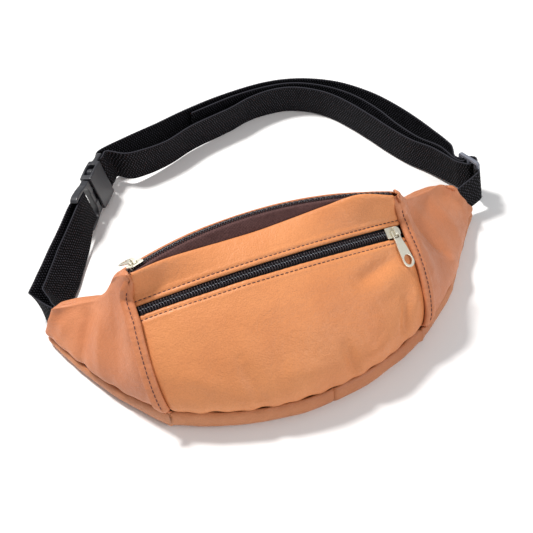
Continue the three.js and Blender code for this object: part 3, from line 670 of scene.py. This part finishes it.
# Each wing's lines from the side seam to the strap's mouth.
WINGS = {
    "left": {
        "side": -1,
        "front": [
            (-SEAM_OUT, 52.5, 101), (-113, 56, 97), (-115, 61, 80), (-119, 67, 66), (-128.5, 79, 50.5),
            (-140, 87, 41.5), (-157, 93, 37),
        ],
        "ridge": [
            (-SEAM_OUT, 59, 99), (-111, 60.5, 91.8), (-114, 67, 77.6), (-118.2, 72.5, 63),
            (-127, 83.5, 47.5), (-138.5, 91, 40.5), (-154.5, 95.5, 37.2),
        ],
        "back": [
            (-SEAM_OUT, 63.5, 93), (-109.5, 66, 86), (-112, 73, 70), (-116.5, 79, 55), (-124.5, 90, 43),
            (-135.5, 96, 38.5), (-150, 98.5, 36),
        ],
        "base": [(-SEAM_OUT + 8, 49, 0), (-120, 68, 0), (-143, 88, 0.5), (-155, 98, 2)],
        "seam": [(-SEAM_OUT + 3, -13, 18.5), (-128, 20, 14), (-150, 58, 11), (-165, 93, 9)],
        "tip_out": (-1, -0.05, 0),
    },
    "right": {
        "side": 1,
        "front": [
            (SEAM_OUT, 52.5, 101), (112, 56.5, 95.5), (117, 60.5, 83), (125, 68, 72), (151, 84, 55),
            (172, 95, 45), (186, 92, 39),
        ],
        "ridge": [
            (SEAM_OUT, 59, 99), (110, 61, 91.5), (115, 65.5, 80), (124, 73, 69.5), (150, 87.5, 52.5),
            (170.5, 98, 42.5), (183.5, 95.5, 38.8),
        ],
        "back": [
            (SEAM_OUT, 63.5, 93), (108.5, 67, 85), (113.5, 72.5, 73), (122, 79.5, 62.5), (147, 94, 48),
            (167, 102.5, 39.5), (180, 99, 36.5),
        ],
        "base": [(SEAM_OUT - 8, 49, 0), (128, 64, 0), (160, 82, 0.5), (182, 92, 1), (197, 96, 2)],
        "seam": [(SEAM_OUT - 3, -13, 18.5), (128, 4, 16), (151, 26, 12), (179, 60, 10), (204, 88, 9)],
        "tip_out": (0.77, -0.64, 0),
    },
}


def wing_lines(wing, s, count):
    """A wing's section at the share s of the way from the side seam to the strap's mouth."""
    front, ridge, back, base, seam = (
        arc_at(wing[key], s) for key in ("front", "ridge", "back", "base", "seam")
    )
    out = unit(np.array([0, -1.0, 0]) * (1 - s) + np.array(wing["tip_out"], float) * s)
    sideways = EAST * wing["side"]
    fade = 1 - s
    height = UP * (front[2] - seam[2])
    t = np.linspace(0, 1, count)
    wall = bezier(
        back,
        -out * (2 + 6 * fade) - 0.3 * height,
        -out * (2 + 16 * fade) + 0.35 * height,
        base,
        t,
    )
    own = bezier(
        seam,
        out * (2 + 3 * fade) + 0.3 * height + sideways * 8 * fade,
        out * (3 + 6.5 * fade) - 0.3 * height + sideways * fade,
        front,
        t,
    )
    share = smooth(s / WING_BLEND)
    beside = front_profile(float(wing["side"]), count) + sideways * SEAM_GAP
    face = beside * (1 - share) + resample(own, count) * share
    return {"back": np.vstack([ridge, wall]), "gusset": gusset_line(base, face[0], t), "front": face}


# -------- leather panels
LEATHER_THICK = 1.5
FRONT_ROWS = 170
WING_PATCH_ROWS = 90
CENTRE_ROWS = 120  # rows of a long panel between the side seams
WING_ROWS = 60  # and in each wing
FIRST_WING_SHARE = 0.04
NOTCH_F = 0.1667  # where the two gusset pieces meet
STITCH_FROM_EDGE = 3.3
STITCH_PITCH = 3.6
STITCH_LENGTH = 3.024
STITCH_RADIUS = 0.3
STITCH_SINK = 0.25
WELT_RINGS = 110
WELT_KEPT = slice(3, -2)  # the rings that are used, which stop short of the seam's ends


def wander(points, size, depth, seed):
    """Smooth uneven rise and fall of a grid, with features of about that size."""
    flat = points.reshape(-1, 3) / size + seed * 7.31
    values = np.array([noise.noise(Vector(p)) for p in flat])
    return values.reshape(points.shape[:-1]) * depth


def crease(points, a, b, width, depth):
    """Ridge (or valley, where depth is negative) along the segment from a to b."""
    a, b = np.array(a, float), np.array(b, float)
    d = b - a
    t = np.clip(((points - a) @ d) / (d @ d), 0, 1)
    gap = np.linalg.norm(points - (a + t[..., None] * d), axis=-1)
    ends = np.sin(np.clip(t, 0.04, 0.96) * math.pi) ** 0.5
    return depth * ends * np.exp(-((gap / width) ** 2))


def tuck(distance, depth, width):
    """How far a surface turns in near a seam."""
    return -depth * (1 - np.clip(distance / width, 0, 1) ** 0.5) ** 1.2


class Patch:
    """A leather panel: a fine grid of points, shaped, then made into a closed shell."""

    def __init__(self, grid, inside=(0.0, 25.0, 45.0)):
        self.inside = np.asarray(inside, float)
        self.grid = np.asarray(grid, float)
        self.normals = surface_normals(self.grid, self.inside)
        self.edges = edge_distances(self.grid)

    def push(self, height):
        self.grid = self.grid + self.normals * height[..., None]
        return self

    def make(self, name, material, node):
        self.normals = surface_normals(self.grid, self.inside)
        points, faces = shell(self.grid, self.normals, LEATHER_THICK)
        points[..., 2] = np.maximum(points[..., 2], 0.0)
        facing = np.cross(self.grid[0, 1] - self.grid[0, 0], self.grid[1, 0] - self.grid[0, 0])
        if facing @ self.normals[0, 0] < 0:
            faces = [face[::-1] for face in faces]
        obj = make_object(name, points, faces, "pouch", material)
        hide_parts(node)

    def stitch_line(self):
        """Points and normals of the stitching along the lip, which is the grid's first column."""
        place, lip = [STITCH_FROM_EDGE], self.edges[2]
        points = np.vstack([read_at(place, *row) for row in zip(lip, self.grid)])
        normals = np.vstack([read_at(place, *row) for row in zip(lip, self.normals)])
        return points, unit(normals)


def seam_puckers(along, distance, depth, pitch, reach):
    """Small gathers that run away from a stitched seam."""
    wave = np.sin(along * 2 * math.pi / pitch) + 0.6 * np.sin(along * 2 * math.pi / (pitch * 1.73) + 1.1)
    return depth * wave * np.exp(-distance / reach)


def lip_across(f):
    """Half-width of the leather window round the front zip: it widens towards the slider."""
    return 4.35 + 0.75 * f


# Folds of the leather: from, to, half-width, and height (a valley where it is negative).
FRONT_FOLDS = [
    ((90, 20, 72), (54, 9, 70), 6.0, -3.0),
    ((92, 12, 62), (60, -4, 62), 7.0, 1.4),
    ((80, -24, 32), (87, -6, 52), 4.0, -3.2),
    ((92, -12, 38), (98, 2, 54), 4.0, 1.8),
    ((34, -40, 26), (30, -25, 48), 4.5, -3.2),
    ((44, -34, 36), (66, -24, 38), 6.0, 1.8),
    ((-38, -38, 28), (-46, -16, 56), 5.5, -2.2),
    ((-64, -22, 42), (-88, -4, 50), 7.0, 1.6),
    ((-92, 26, 64), (-82, -8, 34), 5.0, 0.8),
    ((-98, 30, 66), (-60, 4, 60), 6.0, -1.0),
    ((20, -34, 40), (-20, -30, 46), 8.0, 1.2),
]


def front_rows(side, panel, samples, edge_count, columns):
    """Rows of a front panel from the front zip's window outwards; side is 1 above the zip."""
    rows = []
    for f in np.linspace(-1, 1, FRONT_ROWS):
        lines = centre_lines(f, samples)
        across = side * np.linspace(lip_across(f), WINDOW_HALF, edge_count)
        edge = FRONT_ZIP.point(np.full(edge_count, lines["zip_theta"]), across, TAPE_TO_FACE)
        rows.append(resample(np.vstack([edge, lines[panel]]), columns))
    return np.stack(rows)


def hump(distance, middle, width):
    return np.exp(-(((distance - middle) / width) ** 2))


def lip_relief(lip):
    """The turned edge along the front zip, with the groove that its stitching pulls in."""
    swell = 0.35 * (hump(lip, 1.6, 1.0) + hump(lip, 5.4, 1.5))
    return tuck(lip, 0.35, 1.0) + swell - 0.42 * hump(lip, STITCH_FROM_EDGE, 0.55)


def front_lower_patch():
    patch = Patch(front_rows(-1, "belly", 60, 6, 84))
    left, right, lip, base = patch.edges
    along = left + patch.grid[..., 0] * 0.2
    height = tuck(base, 2.6, 9.0) + tuck(np.minimum(left, right), 1.5, 6.0) + lip_relief(lip)
    height += seam_puckers(along, lip, 0.16, 7.2, 5.0)
    height += seam_puckers(along, base, 0.55, 21.0, 10.0)
    height += wander(patch.grid, 34.0, 1.3, 1) + wander(patch.grid, 13.0, 0.28, 2)
    for fold in FRONT_FOLDS:
        height += crease(patch.grid, *fold)
    return patch.push(height)


def front_upper_patch():
    patch = Patch(front_rows(1, "upper", 30, 5, 40))
    left, right, lip, top = patch.edges
    height = tuck(np.minimum(left, right), 1.1, 3.5) + tuck(top, 0.9, 2.6) + lip_relief(lip)
    height += seam_puckers(left, lip, 0.14, 8.1, 4.0)
    height += wander(patch.grid, 30.0, 1.0, 3) + wander(patch.grid, 12.0, 0.22, 4)
    height += 0.9 * np.sin(top / np.maximum(top + lip, 1e-6) * math.pi)
    return patch.push(height)


WING_FOLDS = {
    "left": [
        ((-113, 42, 82), (-120, 4, 40), 7.0, 2.0),
        ((-114, 60, 80), (-124, 24, 34), 7.0, -2.4),
        ((-124, 66, 58), (-137, 34, 24), 7.0, 2.6),
        ((-131, 78, 48), (-147, 50, 14), 5.5, -3.2),
        ((-142, 84, 42), (-158, 80, 18), 6.0, 2.0),
    ],
    "right": [
        ((109, 46, 86), (124, 8, 42), 8.0, 3.2),
        ((122, 67, 74), (145, 36, 35), 7.0, -4.8),
        ((150, 83, 54), (173, 57, 22), 9.0, 2.6),
        ((138, 30, 36), (158, 34, 20), 5.0, 2.2),
        ((128, 6, 22), (150, 26, 14), 6.0, -1.4),
    ],
}


def wing_patch(key):
    wing = WINGS[key]
    rows = []
    for s in np.linspace(0, 1, WING_PATCH_ROWS):
        lines = wing_lines(wing, s, 48)
        front, back = lines["front"], lines["back"]
        shoulder = spline_at([front[-6], front[-1], back[0], back[2]], np.linspace(1 / 3, 2 / 3, 8))
        rows.append(resample(np.vstack([front[:-1], shoulder]), 64))
    patch = Patch(np.stack(rows), (wing["side"] * 118, 52.0, 34.0))
    side, mouth, base, top = patch.edges
    height = tuck(base, 1.6, 5.0) + tuck(top, 0.9, 3.0) + tuck(mouth, 1.0, 4.0)
    height += seam_puckers(side, base, 0.3, 17.0, 8.0)
    height += seam_puckers(base, side, 0.18, 12.0, 7.0)
    height += seam_puckers(base, mouth, 0.5, 15.0, 12.0)
    height += wander(patch.grid, 28.0, 1.5, 5 + wing["side"]) + wander(patch.grid, 11.0, 0.3, 9)
    for fold in WING_FOLDS[key]:
        height += crease(patch.grid, *fold) * smooth(side / 9.0)
    return patch.push(height)


def long_panel(line, f_from, f_to, columns):
    """Grid of a panel that runs past the side seams into the wings, from f_from to f_to.
    f_from below -1 begins at the left wing's tip, and f_to above 1 ends at the right wing's."""
    shares = np.linspace(FIRST_WING_SHARE, 1, WING_ROWS)
    low, high = max(f_from, -1), min(f_to, 1)
    count = max(8, int(CENTRE_ROWS * (high - low) / 2))
    rows = []
    if f_from < -1:
        rows += [wing_lines(WINGS["left"], s, columns) for s in shares[::-1]]
    rows += [centre_lines(f, columns) for f in np.linspace(low, high, count)]
    if f_to > 1:
        rows += [wing_lines(WINGS["right"], s, columns) for s in shares]
    return np.stack([resample(row[line], columns) for row in rows])


def gusset_patch(f_from, f_to, seed):
    patch = Patch(long_panel("gusset", f_from, f_to, 56), (0.0, 25.0, 30.0))
    start, end, _, front = patch.edges
    rise = np.clip(patch.grid[..., 2] / 6.0, 0, 1)
    height = tuck(front, 1.6, 4.0) + tuck(np.minimum(start, end), 0.8, 2.5) * rise
    height += rise * (wander(patch.grid, 24.0, 0.9, seed) + wander(patch.grid, 9.0, 0.2, seed + 1))
    height += rise * seam_puckers(start, front, 0.28, 16.0, 6.0)
    return patch.push(height)


def back_patch():
    patch = Patch(long_panel("back", -2, 2, 64), (0.0, 30.0, 45.0))
    start, end, top, _ = patch.edges
    height = tuck(top, 0.5, 2.0) + tuck(np.minimum(start, end), 1.0, 4.0)
    wall = np.clip(patch.grid[..., 2] / 8.0, 0, 1) * np.clip(top / 8.0, 0, 1)
    height += wall * (wander(patch.grid, 38.0, 2.2, 15) + wander(patch.grid, 15.0, 0.45, 16))
    return patch.push(height)


def stitches(name, path, normals):
    """A row of single thread stitches lying on a line of points."""
    along = lengths(path)
    run = np.linspace(-0.5, 0.5, 7) * STITCH_LENGTH
    arch = np.sin(np.linspace(0, math.pi, 7)) ** 0.6
    rise = STITCH_RADIUS * 0.75 * arch - STITCH_SINK * (1 - arch) - 0.05
    parts = []
    for k in range(int(along[-1] // STITCH_PITCH)):
        places = (k + 0.5) * STITCH_PITCH + run
        centre = read_at(places, along, path) + unit(read_at(places, along, normals)) * rise[:, None]
        parts.append(tube_mesh(centre, STITCH_RADIUS * (0.55 + 0.45 * arch), 6))
    points, faces = join_meshes(parts)
    make_object(name, points, faces, "pouch", THREAD)


def seam_lines(side):
    """The side seam from the gusset to the top: middle points, outward normals, and directions
    towards the wing."""
    middle = front_profile(float(side), WELT_RINGS)[WELT_KEPT] + EAST * side * SEAM_GAP / 2
    tangent = unit(averaged(unit(np.gradient(middle, axis=0))))
    outward = side * EAST
    across = unit(outward - tangent * (tangent @ outward)[:, None])
    normal = np.cross(tangent, across) * -side
    return middle, normal, across


# The hem of the wing's leather over the seam: a roll against the front panel, then the stitched
# groove, then down to the wing.
WELT_PROFILE = [
    (-2.1, -0.9), (-2.5, 0.2), (-2.5, 1.2), (-2.1, 2.0), (-1.3, 2.55), (-0.3, 2.75), (0.7, 2.6),
    (1.5, 2.15), (2.1, 1.6), (2.6, 1.45), (3.2, 1.65), (4.2, 1.6), (5.4, 1.0), (6.6, 0.1),
    (7.6, -1.0), (4.0, -1.2), (0.0, -1.2),
]
WELT_STITCH = (2.6, 1.5)
WELT_SEWN = slice(7, -11)


def end_share(run, first, last):
    """1 at both ends of a run of lengths, and 0 beyond the distances first and last from them."""
    return (1 - smooth(run / first)) + (1 - smooth((run[-1] - run) / last))


def build_welt(key):
    side = WINGS[key]["side"]
    middle, normal, across = seam_lines(side)
    run = lengths(middle)
    wobble = (0.12 * np.sin(run * 0.55) + 0.08 * np.sin(run * 1.31))[:, None]
    sunk = end_share(run, 5.0, 11.0)[:, None]
    narrow = end_share(run, 13.0, 13.0)[:, None]
    over, up = np.array(WELT_PROFILE).T
    reach = over * (1 - 0.6 * narrow * (over > WELT_STITCH[0]))
    rise = up * (1 - 0.8 * sunk) + wobble - 2.4 * sunk
    rings = middle[:, None] + across[:, None] * reach[..., None] + normal[:, None] * rise[..., None]
    faces = tube_faces(len(middle), len(over), flip=side > 0)
    obj = make_object(f"leather_welt_{key}", rings, faces, "pouch", LEATHER_WING_SHADED)
    soft = obj.modifiers.new("round", "SUBSURF")
    soft.levels = soft.render_levels = 2
    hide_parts(f"seam_welt_{key}")
    path = middle + across * WELT_STITCH[0] + normal * (WELT_STITCH[1] + wobble)
    stitches(f"stitch_welt_{key}", path[WELT_SEWN], normal[WELT_SEWN])


def build_pouch():
    for key, make_patch in (("lower", front_lower_patch), ("upper", front_upper_patch)):
        patch = make_patch()
        patch.make(f"leather_front_{key}", LEATHER_FRONT, f"front_panel_{key}")
        stitches(f"stitch_zip_{key}", *patch.stitch_line())
    for key in WINGS:
        wing_patch(key).make(f"leather_wing_{key}", LEATHER_WING_SHADED, f"wing_{key}")
        build_welt(key)
    for key, f_from, f_to, seed in (("left", -2, NOTCH_F, 21), ("right", NOTCH_F, 2, 25)):
        patch = gusset_patch(f_from, f_to, seed)
        patch.make(f"leather_gusset_{key}", LEATHER_GUSSET, f"gusset_{key}")
    back_patch().make("leather_back", LEATHER_BACK, "back_panel")


# -------- zips
TOOTH_PITCH = 2.05
TOOTH_SIDES = 6
TOOTH_LIFT = 0.3
TAPE_THICK = 0.7
TAPE_ROWS = 260
# Rows of thread on the chain: radius, length from one to the next, share of it covered, material.
SEWN_ROW = (0.2, TOOTH_PITCH * 2, 0.8, THREAD_GREY)
CORD_ROW = (0.22, TOOTH_PITCH, 0.6, COIL_CORD)


def zip_tape(name, zip_line, thetas, spines, material):
    """Woven tape along a zip; spines holds its middle line as (across, height) points per station."""
    slope = unit(np.gradient(spines, axis=1))
    sideways = np.stack([-slope[..., 1], slope[..., 0]], -1) * TAPE_THICK / 2
    ring = np.concatenate([spines + sideways, (spines - sideways)[:, ::-1]], axis=1)
    rows, cols = ring.shape[:2]
    points = zip_line.point(np.repeat(thetas[:, None], cols, 1), ring[..., 0], ring[..., 1])
    run = np.stack([lengths(spine) for spine in spines])
    along = np.repeat((thetas * zip_line.radius)[:, None], cols, 1)
    uv = np.stack([along, np.concatenate([run, run[:, ::-1]], axis=1)], -1)
    return make_object(name, points, tube_faces(rows, cols), "pouch", material, uv)


def flat_spines(thetas, inner, outer):
    """A tape that lies flat between two across values."""
    spine = np.stack([np.linspace(inner, outer, 14), np.zeros(14)], 1)
    return np.repeat(spine[None], len(thetas), 0)


def folded_spines(thetas):
    """The main zip's front tape: flat to its fold, then down behind the front panel's top edge."""
    fold = 0.3 - FOLD_A
    corner = [(-0.2, 0.0), (fold + 1.3, 0.0), (fold + 0.45, -0.1), (fold + 0.1, -0.45), (fold, -1.0)]
    shares = np.arange(1, 10) / 9
    spines = []
    for theta in thetas:
        f = math.sin(theta) * MAIN_ZIP.radius / SEAM_X
        hem = -max(1.2, (edge_drop(f)[0] + 3) * (1 - 0.5 * f**4))
        sag = 0.22 * math.sin(theta * 41) + 0.12 * math.sin(theta * 97)
        down = np.stack([fold + sag * np.sin(math.pi * shares), -1.0 + (hem + 1.0) * shares], 1)
        spines.append(resample(np.vstack([corner, down]), 26))
    return np.stack(spines)


def tooth_parts(zip_line, theta, side):
    """One turn of the coil: a staple across its half of the chain, with a head at the middle."""
    reach = np.array([0.25, 0.55, 1.1, 1.8, 2.45, 2.85, 2.75]) * side
    rise = np.array([0.75, 1.35, 1.75, 1.75, 1.45, 0.85, 0.35]) + TOOTH_LIFT
    path = zip_line.point(np.full(len(reach), theta), reach, rise)
    return tube_mesh(path, [0.5, 0.6, 0.52, 0.5, 0.5, 0.42, 0.3], TOOTH_SIDES)


def coil(name, zip_line, ends, side):
    step = TOOTH_PITCH / zip_line.radius
    shift = 0.25 if side > 0 else 0.75
    count = int((ends[1] - ends[0]) / step)
    parts = [tooth_parts(zip_line, ends[0] + (k + shift) * step, side) for k in range(count)]
    points, faces = join_meshes(parts)
    return make_object(name, points, faces, "pouch", COIL_DARK)


def zip_threads(name, zip_line, ends, across, height, row):
    """A row of sewing thread or cord along the chain."""
    radius, pitch, share, material = row
    step = pitch / zip_line.radius
    rise = height + 0.22 * np.sin(np.linspace(0, math.pi, 5))
    parts = []
    for k in range(int((ends[1] - ends[0]) / step)):
        theta = ends[0] + (k + 0.5 + np.linspace(-0.5, 0.5, 5) * share) * step
        sway = across + 0.12 * (1 if k % 2 else -1)
        parts.append(tube_mesh(zip_line.point(theta, np.full(5, sway), rise), radius, 5))
    points, faces = join_meshes(parts)
    make_object(name, points, faces, "pouch", material)


def build_zip(prefix, zip_line, material, spines):
    ends = (zip_line.angle_at(-SEAM_X), zip_line.angle_at(SEAM_X))
    thetas = np.linspace(*ends, TAPE_ROWS)
    for label, side in (("low", -1), ("high", 1)):
        lines = spines(thetas, side)
        tape = zip_tape(f"{prefix}_fabric_{label}", zip_line, thetas, lines, material)
        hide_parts(f"{prefix}_tape_{label}")
        teeth = coil(f"{prefix}_teeth_{label}", zip_line, ends, side)
        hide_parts(f"{prefix}_coil_{label}")
        zip_threads(f"{prefix}_thread_{label}", zip_line, ends, side * 1.95, 2.3, SEWN_ROW)
    zip_threads(f"{prefix}_cord", zip_line, ends, 0.0, 2.02, CORD_ROW)


def front_spines(thetas, side):
    return flat_spines(thetas, side * 0.2, side * 8.4)


def main_spines(thetas, side):
    return flat_spines(thetas, 0.2, 7.6) if side > 0 else folded_spines(thetas)


def build_zips():
    build_zip("front_zip", FRONT_ZIP, TAPE_DARK, front_spines)
    build_zip("main_zip", MAIN_ZIP, TAPE_BROWN, main_spines)


# -------- moulded and cast parts
# Node and piece name endings, voxel size and smoothing passes.
CAST_PARTS = [
    ("slider", "slider_cast", 0.16, 5),
    ("slider_bridge", "bridge_cast", 0.14, 5),
    ("puller", "puller_cast", 0.17, 3),
]
# Node, piece and smoothing passes.
BUCKLE_PARTS = [
    ("buckle_male", "buckle_plug", 12),
    ("buckle_arm_upper", "buckle_spring_upper", 12),
    ("buckle_arm_lower", "buckle_spring_lower", 12),
    ("buckle_female", "buckle_socket", 34),
]


def moulded(node, name, material, voxel, passes):
    """A copy of a CAD part with its edges rounded as moulding or casting leaves them."""
    source = frame["nodes"][node]
    mesh = source.data.copy()
    mesh.name = name
    mesh.materials.clear()
    mesh.materials.append(material)
    obj = bpy.data.objects.new(name, mesh)
    link(obj)
    remesh = obj.modifiers.new("remesh", "REMESH")
    remesh.mode = "VOXEL"
    remesh.voxel_size = voxel * MM
    relax = obj.modifiers.new("soften", "SMOOTH")
    relax.factor = 0.5
    relax.iterations = passes
    depsgraph = bpy.context.evaluated_depsgraph_get()
    obj.data = bpy.data.meshes.new_from_object(obj.evaluated_get(depsgraph))
    obj.modifiers.clear()
    obj.data.polygons.foreach_set("use_smooth", [True] * len(obj.data.polygons))
    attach(obj, source["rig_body"])
    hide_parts(node)


def build_hardware():
    for prefix in ("front_zip", "main_zip"):
        for ending, piece, voxel, passes in CAST_PARTS:
            moulded(f"{prefix}_{ending}", f"{prefix}_{piece}", NICKEL, voxel, passes)
    for node, piece, passes in BUCKLE_PARTS:
        moulded(node, piece, PLASTIC, 0.38, passes)
    moulded("strap_adjuster", "adjuster_moulded", PLASTIC_PALE, 0.34, 5)
    lining = frame["nodes"]["pocket_lining"].data.materials
    lining.clear()
    lining.append(LINING)


# -------- webbing
WEB_T = 1.3
FITTING_HALF = 19.0
WEB_COLUMNS = 49
KNOT_RISE = 0.42
STEP_FINE = 0.55
ROUTE_SAMPLES = 4000


def fitting_frame(foot, heading, lean, roll):
    """Rotation and place of a fitting that stands on edge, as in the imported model."""
    basis = np.eye(3)
    for angle, axis in ((heading, "Z"), (roll, "Y"), (lean, "X")):
        basis = basis @ np.array(Matrix.Rotation(math.radians(angle), 3, axis))
    return basis, np.array(foot) + basis[:, 2] * FITTING_HALF


BUCKLE = fitting_frame((-107, 190, 1.9), 55, -15, 0)
GLIDE = fitting_frame((218, 113, 3.6), 102, -6, 12)


# Webbing stands on edge. A station is a point of its lower edge, then how far its upper edge
# leans from that point along X and Y.
def on_fitting(fitting, points):
    """Stations at points of a fitting's own plane."""
    basis, place = fitting
    stations = []
    for x, y in points:
        foot = basis @ np.array([x, y, -WEB_W / 2]) + place
        head = basis @ np.array([x, y, WEB_W / 2]) + place
        stations.append([*foot, head[0] - foot[0], head[1] - foot[1]])
    return stations


def in_wing(key, s, shift):
    """Station between a wing's walls, shifted towards its front."""
    front, back, base, seam = (arc_at(WINGS[key][line], s) for line in ("front", "back", "base", "seam"))
    foot = (base + seam) / 2
    lean = unit((back + front) / 2 - foot) * WEB_W
    foot = foot + unit((seam - base) * (1, 1, 0)) * shift
    return [*foot, lean[0], lean[1]]


def left_stations():
    """The left strap: out of the wing, round the plug's bar and back."""
    bar = [(4, 3.8), (11, 3.2), (15.2, 2), (16, 0), (15.2, -2), (11, -3.2), (4, -3.8)]
    return [
        in_wing("left", 0.9, 1.2), in_wing("left", 1, 1.2),
        [-161, 107, 3.5, -3, 2], [-152, 119, 2, -18, 6], [-141, 134, 1.5, -18, 9],
        [-130, 153, 1.5, -15, 10], [-120, 171, 3, -12, 8],
        *on_fitting(BUCKLE, bar),
        [-112, 171, 3, -12, 8], [-122, 152, 1.5, -16, 9], [-131, 135, 1.5, -18, 8],
        [-142, 119, 2, -17, 6], [-153, 106, 3.5, -3, 2],
        in_wing("left", 1, -1.2), in_wing("left", 0.9, -1.2),
    ]


def belt_stations():
    """The belt: from the right wing through the adjuster to the socket, back to the adjuster's
    middle bar, and the tail that lies along it."""
    weave = [(-16, 3), (-11, 3.1), (-7, 0.4), (-4, -5), (0, -7), (4, -5), (7, 0.4), (11, 2.9), (16, 3)]
    turn = [(15, 7.6), (8, 7.2), (1, 4.6), (-2.8, 2.7), (-3.9, 0), (-2.6, -2.6), (0, -3.2)]
    turn += [(2.6, -2.6), (3.6, 0), (4.6, 3), (8, 4.7), (15, 5.2)]
    bar = [(66, 3.6), (60, 3.3), (56.2, 2.2), (55.2, 0), (56.2, -2.2), (60, -3.3), (66, -3.6)]
    tail = [(181, 190), (174, 214), (163, 238), (148, 257), (130, 271), (112, 279), (92, 282)]
    tail += [(60, 281), (14, 272.5)]
    return [
        in_wing("right", 0.9, 0), in_wing("right", 1, 0),
        *on_fitting(GLIDE, weave),
        [212, 145, 2, 0, 2], [207, 170, 1, 0, 0], [194, 206, 0.8, 1, 0], [178, 236, 0.8, 1, 1],
        [154, 263, 0.8, 1, 1], [125, 280, 0.8, 0, 1], [94, 287, 0.8, 0, 1], [50, 285, 0.8, 0, 1],
        [12, 278, 0.8, 0, 1], [-20, 268, 1, -1, 2], [-45, 258, 3, -3, 4],
        *on_fitting(BUCKLE, bar),
        [-56, 237, 5, -2, 2], [-40, 239, 3, 0, 1], [-18, 246, 1, 0, -1], [8, 257, 0.8, 0, -1],
        [49, 268, 0.8, 0, -2], [70, 275, 0.8, 0, -2], [92, 277, 0.8, 0, -1], [112, 274, 0.8, -1, -1],
        [130, 264, 0.8, -1, -1], [144, 250, 0.8, -1, -1], [155, 231, 0.8, -1, 0],
        [165, 209, 0.8, -1, 0], [174, 187, 0.8, -1, 0], [184, 167, 0.8, -1, 0], [196, 149, 1.5, -1, 2],
        *on_fitting(GLIDE, turn),
        [203, 147, 2, -1, 2], [190, 168, 1, 0, 0],
        *([x, y, 0.8, 0, 0] for x, y in tail),
    ]


def webbing_lines(stations, step):
    """Distances along the webbing with its lower edge and its width there, one row per step."""
    stations = np.array(stations, float)
    fine = np.linspace(0, 1, ROUTE_SAMPLES)
    foot = spline_at(stations[:, :3], fine)
    spans = len(stations) - 1
    lean = read_at(fine * spans, np.arange(spans + 1), stations[:, 3:])
    along = lengths(foot)
    wanted = np.linspace(0, along[-1], int(along[-1] / step))
    lean = averaged(read_at(wanted, along, lean))
    width = np.column_stack([lean, np.sqrt(WEB_W**2 - np.sum(lean**2, axis=1))])
    return wanted[:, None], read_at(wanted, along, foot), width


def weave_relief(along, across):
    """Height of the weave's knots, which stand in columns with every other column half a knot on."""
    phase = np.where(np.floor(across / WEAVE_ACROSS) % 2 == 0, 0.0, math.pi)
    turn = 2 * math.pi * along / WEAVE_ALONG + phase + WEAVE_SKEW * np.sin(across * SKEW_RATE)
    groove = np.abs(np.sin(math.pi * across / WEAVE_ACROSS)) ** 0.5
    return KNOT_RISE * (0.5 + 0.5 * np.sin(turn)) * groove


def webbing(name, stations, node):
    """Woven webbing on edge: a dense closed ribbon with its weave as real relief."""
    along, foot, width = webbing_lines(stations, STEP_FINE)
    normal = unit(np.cross(unit(np.gradient(foot, axis=0)), width))
    share = np.linspace(0, 1, WEB_COLUMNS)
    across = share[None, :] * WEB_W
    thin_edge = np.minimum(1, 0.55 + np.minimum(share, 1 - share) * WEB_W / 2.0)
    half = (WEB_T / 2 - 0.12) * thin_edge[None, :] + weave_relief(along, across)
    middle = foot[:, None] + width[:, None] * share[None, :, None]
    offset = normal[:, None] * half[..., None]
    ring = np.concatenate([middle + offset, (middle - offset)[:, ::-1]], axis=1)
    rows, cols = ring.shape[:2]
    uv_across = np.concatenate([across, across[:, ::-1]], axis=1)
    uv = np.stack([np.repeat(along, cols, 1), np.repeat(uv_across, rows, 0)], -1)
    obj = make_object(name, ring, tube_faces(rows, cols), None, WEBBING, uv)
    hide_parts(node)
    return obj


def build_straps():
    belt = webbing("webbing_belt", belt_stations(), "strap_belt")
    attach(belt, "pouch")
    left = webbing("webbing_left", left_stations(), "strap_left")
    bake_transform(left)


build_camera()
build_stage()
build_pouch()
build_zips()
build_hardware()
build_straps()
